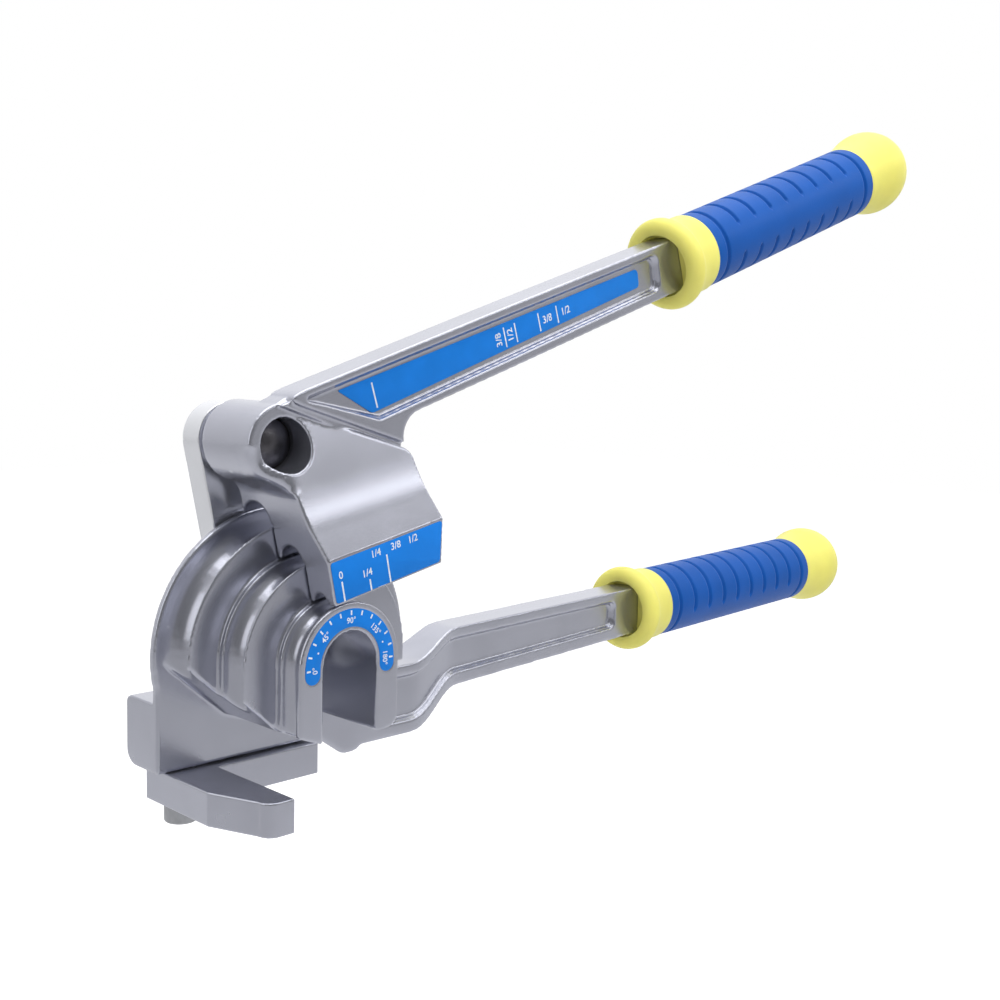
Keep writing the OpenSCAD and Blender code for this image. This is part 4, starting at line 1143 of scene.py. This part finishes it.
def floor_material():
    """Pale floor that the camera sees as white where no shadow falls, dim near the camera in reflections"""
    stage = settings("stage")
    material = bpy.data.materials.new("studio_floor")
    material.use_nodes = True
    tree = material.node_tree
    tree.nodes.clear()
    seen, glossy = seen_directly(tree)
    spot = tree.nodes.new("ShaderNodeTexCoord").outputs["Object"]
    away = Vector((stage.bright_side[0], stage.bright_side[1], 0)).normalized()
    depth = add_node(tree, "ShaderNodeVectorMath", {0: spot, 1: away}, operation="DOT_PRODUCT")
    graded = ranged(tree, depth.outputs["Value"], *FLOOR_GRADE, stage.floor_near, stage.floor_far)
    mirrored = add_node(tree, "ShaderNodeMath", {0: glossy, 1: graded}, operation="MULTIPLY")
    lift = add_node(tree, "ShaderNodeMix", {0: seen, 2: mirrored.outputs[0], 3: stage.floor_lift})
    mirror = tinted(stage.floor_colour, stage.floor_mirror)
    colour = mixed(tree, glossy, rgba(stage.floor_colour), mirror)
    matt = add_node(tree, "ShaderNodeBsdfDiffuse", {"Color": colour})
    glow = add_node(tree, "ShaderNodeEmission", {"Color": (1, 1, 1, 1), "Strength": lift.outputs[0]})
    both = add_node(tree, "ShaderNodeAddShader", {0: matt.outputs[0], 1: glow.outputs[0]})
    add_node(tree, "ShaderNodeOutputMaterial", {"Surface": both.outputs[0]})
    return material


def area_light(name, place, aim, width, height, power):
    """A soft light at a place, aimed at a point"""
    lamp = bpy.data.lights.new(name, "AREA")
    lamp.shape = "RECTANGLE"
    lamp.size = width
    lamp.size_y = height
    lamp.energy = power
    light = bpy.data.objects.new(name, lamp)
    light.location = place
    light.rotation_euler = (Vector(aim) - Vector(place)).to_track_quat("-Z", "Y").to_euler()
    bpy.context.scene.collection.objects.link(light)
    return light


# Operators

class BENDER_OT_castings(bpy.types.Operator):
    """Gives the die and handle, lever, link and latch their cast and painted surfaces"""

    bl_idname = "bender.castings"
    bl_label = "Castings"

    def execute(self, context):
        cast = settings("cast")
        paint = cast_paint("cast_paint", cast.paint)
        plating = cast_paint("link_plating", cast.plating)
        rows = (
            ("die_and_handle", "form_casting", "form", cast.form_voxel, Matrix(), None, paint),
            ("shoe_lever", "lever_casting", "lever", cast.lever_voxel, TUBE_END, on_ring_blend, paint),
            ("rear_link", "link_plate", "link", cast.small_voxel, TUBE_END, None, plating),
            ("tube_latch", "latch_hook", "latch", cast.small_voxel, Matrix(), None, paint),
        )
        for name, node, body, voxel, turn, blend, finish in rows:
            skin = cast_skin(node, voxel, turn, blend)
            add_piece(skin, name, body, finish, [node], sharp=None)
        return {"FINISHED"}


class BENDER_OT_labels(bpy.types.Operator):
    """Makes the three printed labels and their scales"""

    bl_idname = "bender.labels"
    bl_label = "Labels"

    def execute(self, context):
        vinyl, ink = label_print(), label_ink()
        corner = settings("label").corner
        rows = (
            ("degree_scale", "degree_label", "form", degree_marks),
            ("shoe_scale", "shoe_label", "lever", shoe_marks),
            ("strip_scale", "lever_label", "lever", strip_marks),
        )
        for name, node, body, marks in rows:
            add_piece(label_plate(node, corner), name, body, vinyl, [node])
            add_piece(marks(), name + "_marks", body, ink, sharp=20.0)
        return {"FINISHED"}


class BENDER_OT_grips(bpy.types.Operator):
    """Moulds the collars, ribbed sleeves and domed caps on both handles"""

    bl_idname = "bender.grips"
    bl_label = "Grips"

    def execute(self, context):
        grip = settings("grip")
        yellow = moulded_plastic("grip_yellow", grip.yellow, (0.34, 0.46), 1900.0, 0.1, 0.12)
        rubber = moulded_plastic("grip_rubber", grip.blue, (0.42, 0.52), 2600.0, 0.15, 0.0)
        places = grip_places()
        # Side, body, and the direction of the grooves' middle round the grip in degrees
        rows = (("upper", "lever", 84.0), ("lower", "form", 128.0))
        for side, body, turn in rows:
            place = places[side]
            sleeve = sleeve_mesh(place, math.radians(turn))
            add_piece(collar_mesh(place), side + "_grip_collar", body, yellow,
                      [side + "_collar"])
            add_piece(sleeve, side + "_grip_sleeve", body, rubber, [side + "_sleeve"],
                      sharp=60.0)
            add_piece(cap_mesh(place), side + "_grip_cap", body, yellow, [side + "_end_cap"])
        return {"FINISHED"}


class BENDER_OT_hardware(bpy.types.Operator):
    """Turns the bolt, nut, pins, washers and ring, and finishes the bushes"""

    bl_idname = "bender.hardware"
    bl_label = "Hardware"

    def execute(self, context):
        hardware = settings("hardware")
        bend_zinc = turned_metal("zinc_bend", hardware.zinc, "Y")
        barrel_zinc = turned_metal("zinc_barrel", hardware.zinc, "Y", BARREL)
        latch_zinc = turned_metal("zinc_latch", hardware.zinc, "Z", LATCH, (0.36, 0.5))
        oxide = turned_metal("black_oxide", hardware.oxide, "Y", BARREL, (0.3, 0.42))
        bronze = turned_metal("bearing_bronze", hardware.bronze, "Y", BARREL)
        add_piece(socket_bolt_mesh(), "bend_bolt", "form", bend_zinc, ["pivot_bolt"])
        add_piece(hex_nut_mesh(), "bend_nut", "form", bend_zinc, ["pivot_nut"], sharp=20.0)
        for name, node in (("bend_washer", "pivot_washer"), ("bend_rear_washer", "pivot_rear_washer")):
            washer = washer_mesh(node, along_y((0, 0, 0)), 1, pivot_bore())
            add_piece(washer, name, "form", bend_zinc, [node])
        washer = washer_mesh("barrel_pin_washer", along_y(BARREL), 1, pivot_bore())
        add_piece(washer, "pin_washer", "link", barrel_zinc, ["barrel_pin_washer"])
        add_piece(pivot_pin_mesh(), "pivot_pin", "link", oxide, ["barrel_pin"])
        add_piece(spring_ring_mesh(), "spring_ring", "link", oxide, ["barrel_pin_ring"])
        add_piece(latch_pin_mesh(), "latch_rivet", "form", latch_zinc, ["latch_pin"])
        shim = washer_mesh("latch_washer", along_z(LATCH), 2, hardware.latch_d / 2 + hardware.play)
        add_piece(shim, "latch_shim", "form", latch_zinc, ["latch_washer"])
        for node in ("link_bush", "barrel_bush_front", "barrel_bush_rear"):
            mesh = NODES[node].data
            mesh.materials.clear()
            mesh.materials.append(bronze)
        return {"FINISHED"}


class BENDER_OT_stage(bpy.types.Operator):
    """Sets the floor, lights, background and camera"""

    bl_idname = "bender.stage"
    bl_label = "Stage"

    def execute(self, context):
        stage = settings("stage")
        scene = context.scene
        scene.view_settings.view_transform = "Standard"
        studio_world()
        low, high = CAD_BOX
        middle = (low + high) / 2
        bm = bmesh.new()
        bmesh.ops.create_grid(bm, x_segments=4, y_segments=4, size=stage.floor_size / 2)
        below = Matrix.Translation((middle.x, middle.y, -stage.floor_drop))
        floor = bpy.data.objects.new("floor", as_mesh(bm, below))
        floor.data.materials.append(floor_material())
        scene.collection.objects.link(floor)
        # Name, place, aim, width, height and power of each light, in metres and watts
        rows = (
            ("top_light", (middle.x, middle.y, 1.0), middle, 1.2, 1.2, stage.top_power),
            ("left_light", (-1.0, 0.15, 0.45), middle, 0.8, 0.8, stage.left_power),
            ("strip_light", (0.71, -0.76, 0.65), (0.02, 0.0, 0.05), 1.1, 0.13, stage.strip_power),
            ("front_light", (0.1, -0.9, 0.95), middle, 0.8, 0.8, stage.front_power),
        )
        lights = {row[0]: area_light(*row) for row in rows}
        lights["front_light"].visible_glossy = False
        lens = bpy.data.cameras.new("photo_view")
        lens.lens = stage.camera_lens
        lens.sensor_width = 36.0
        lens.clip_start = 0.01
        camera = bpy.data.objects.new("photo_view", lens)
        camera.location = stage.camera_place
        camera.rotation_euler = stage.camera_turn
        scene.collection.objects.link(camera)
        scene.camera = camera
        return {"FINISHED"}


class BENDER_PT_panel(bpy.types.Panel):
    """Lists the bender's operators in the sidebar"""

    bl_label = "Tube Bender"
    bl_idname = "BENDER_PT_panel"
    bl_space_type = "VIEW_3D"
    bl_region_type = "UI"
    bl_category = "Bender"

    def draw(self, context):
        for operator in OPERATORS:
            self.layout.operator(operator.bl_idname)


GROUPS = {
    "cast": CastSettings,
    "label": LabelSettings,
    "grip": GripSettings,
    "hardware": HardwareSettings,
    "stage": StageSettings,
}
OPERATORS = (
    BENDER_OT_castings,
    BENDER_OT_labels,
    BENDER_OT_grips,
    BENDER_OT_hardware,
    BENDER_OT_stage,
)
CLASSES = (*GROUPS.values(), *OPERATORS, BENDER_PT_panel)


def register():
    """Registers the classes and gives the scene its settings"""
    for cls in CLASSES:
        bpy.utils.register_class(cls)
    for name, cls in GROUPS.items():
        setattr(bpy.types.Scene, "bender_" + name, PointerProperty(type=cls))


def unregister():
    """Takes back what register gives"""
    for name in GROUPS:
        delattr(bpy.types.Scene, "bender_" + name)
    for cls in reversed(CLASSES):
        bpy.utils.unregister_class(cls)


def main():
    """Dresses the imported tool"""
    register()
    bpy.ops.bender.stage()
    bpy.ops.bender.castings()
    bpy.ops.bender.labels()
    bpy.ops.bender.grips()
    bpy.ops.bender.hardware()


if __name__ == "__main__":
    main()
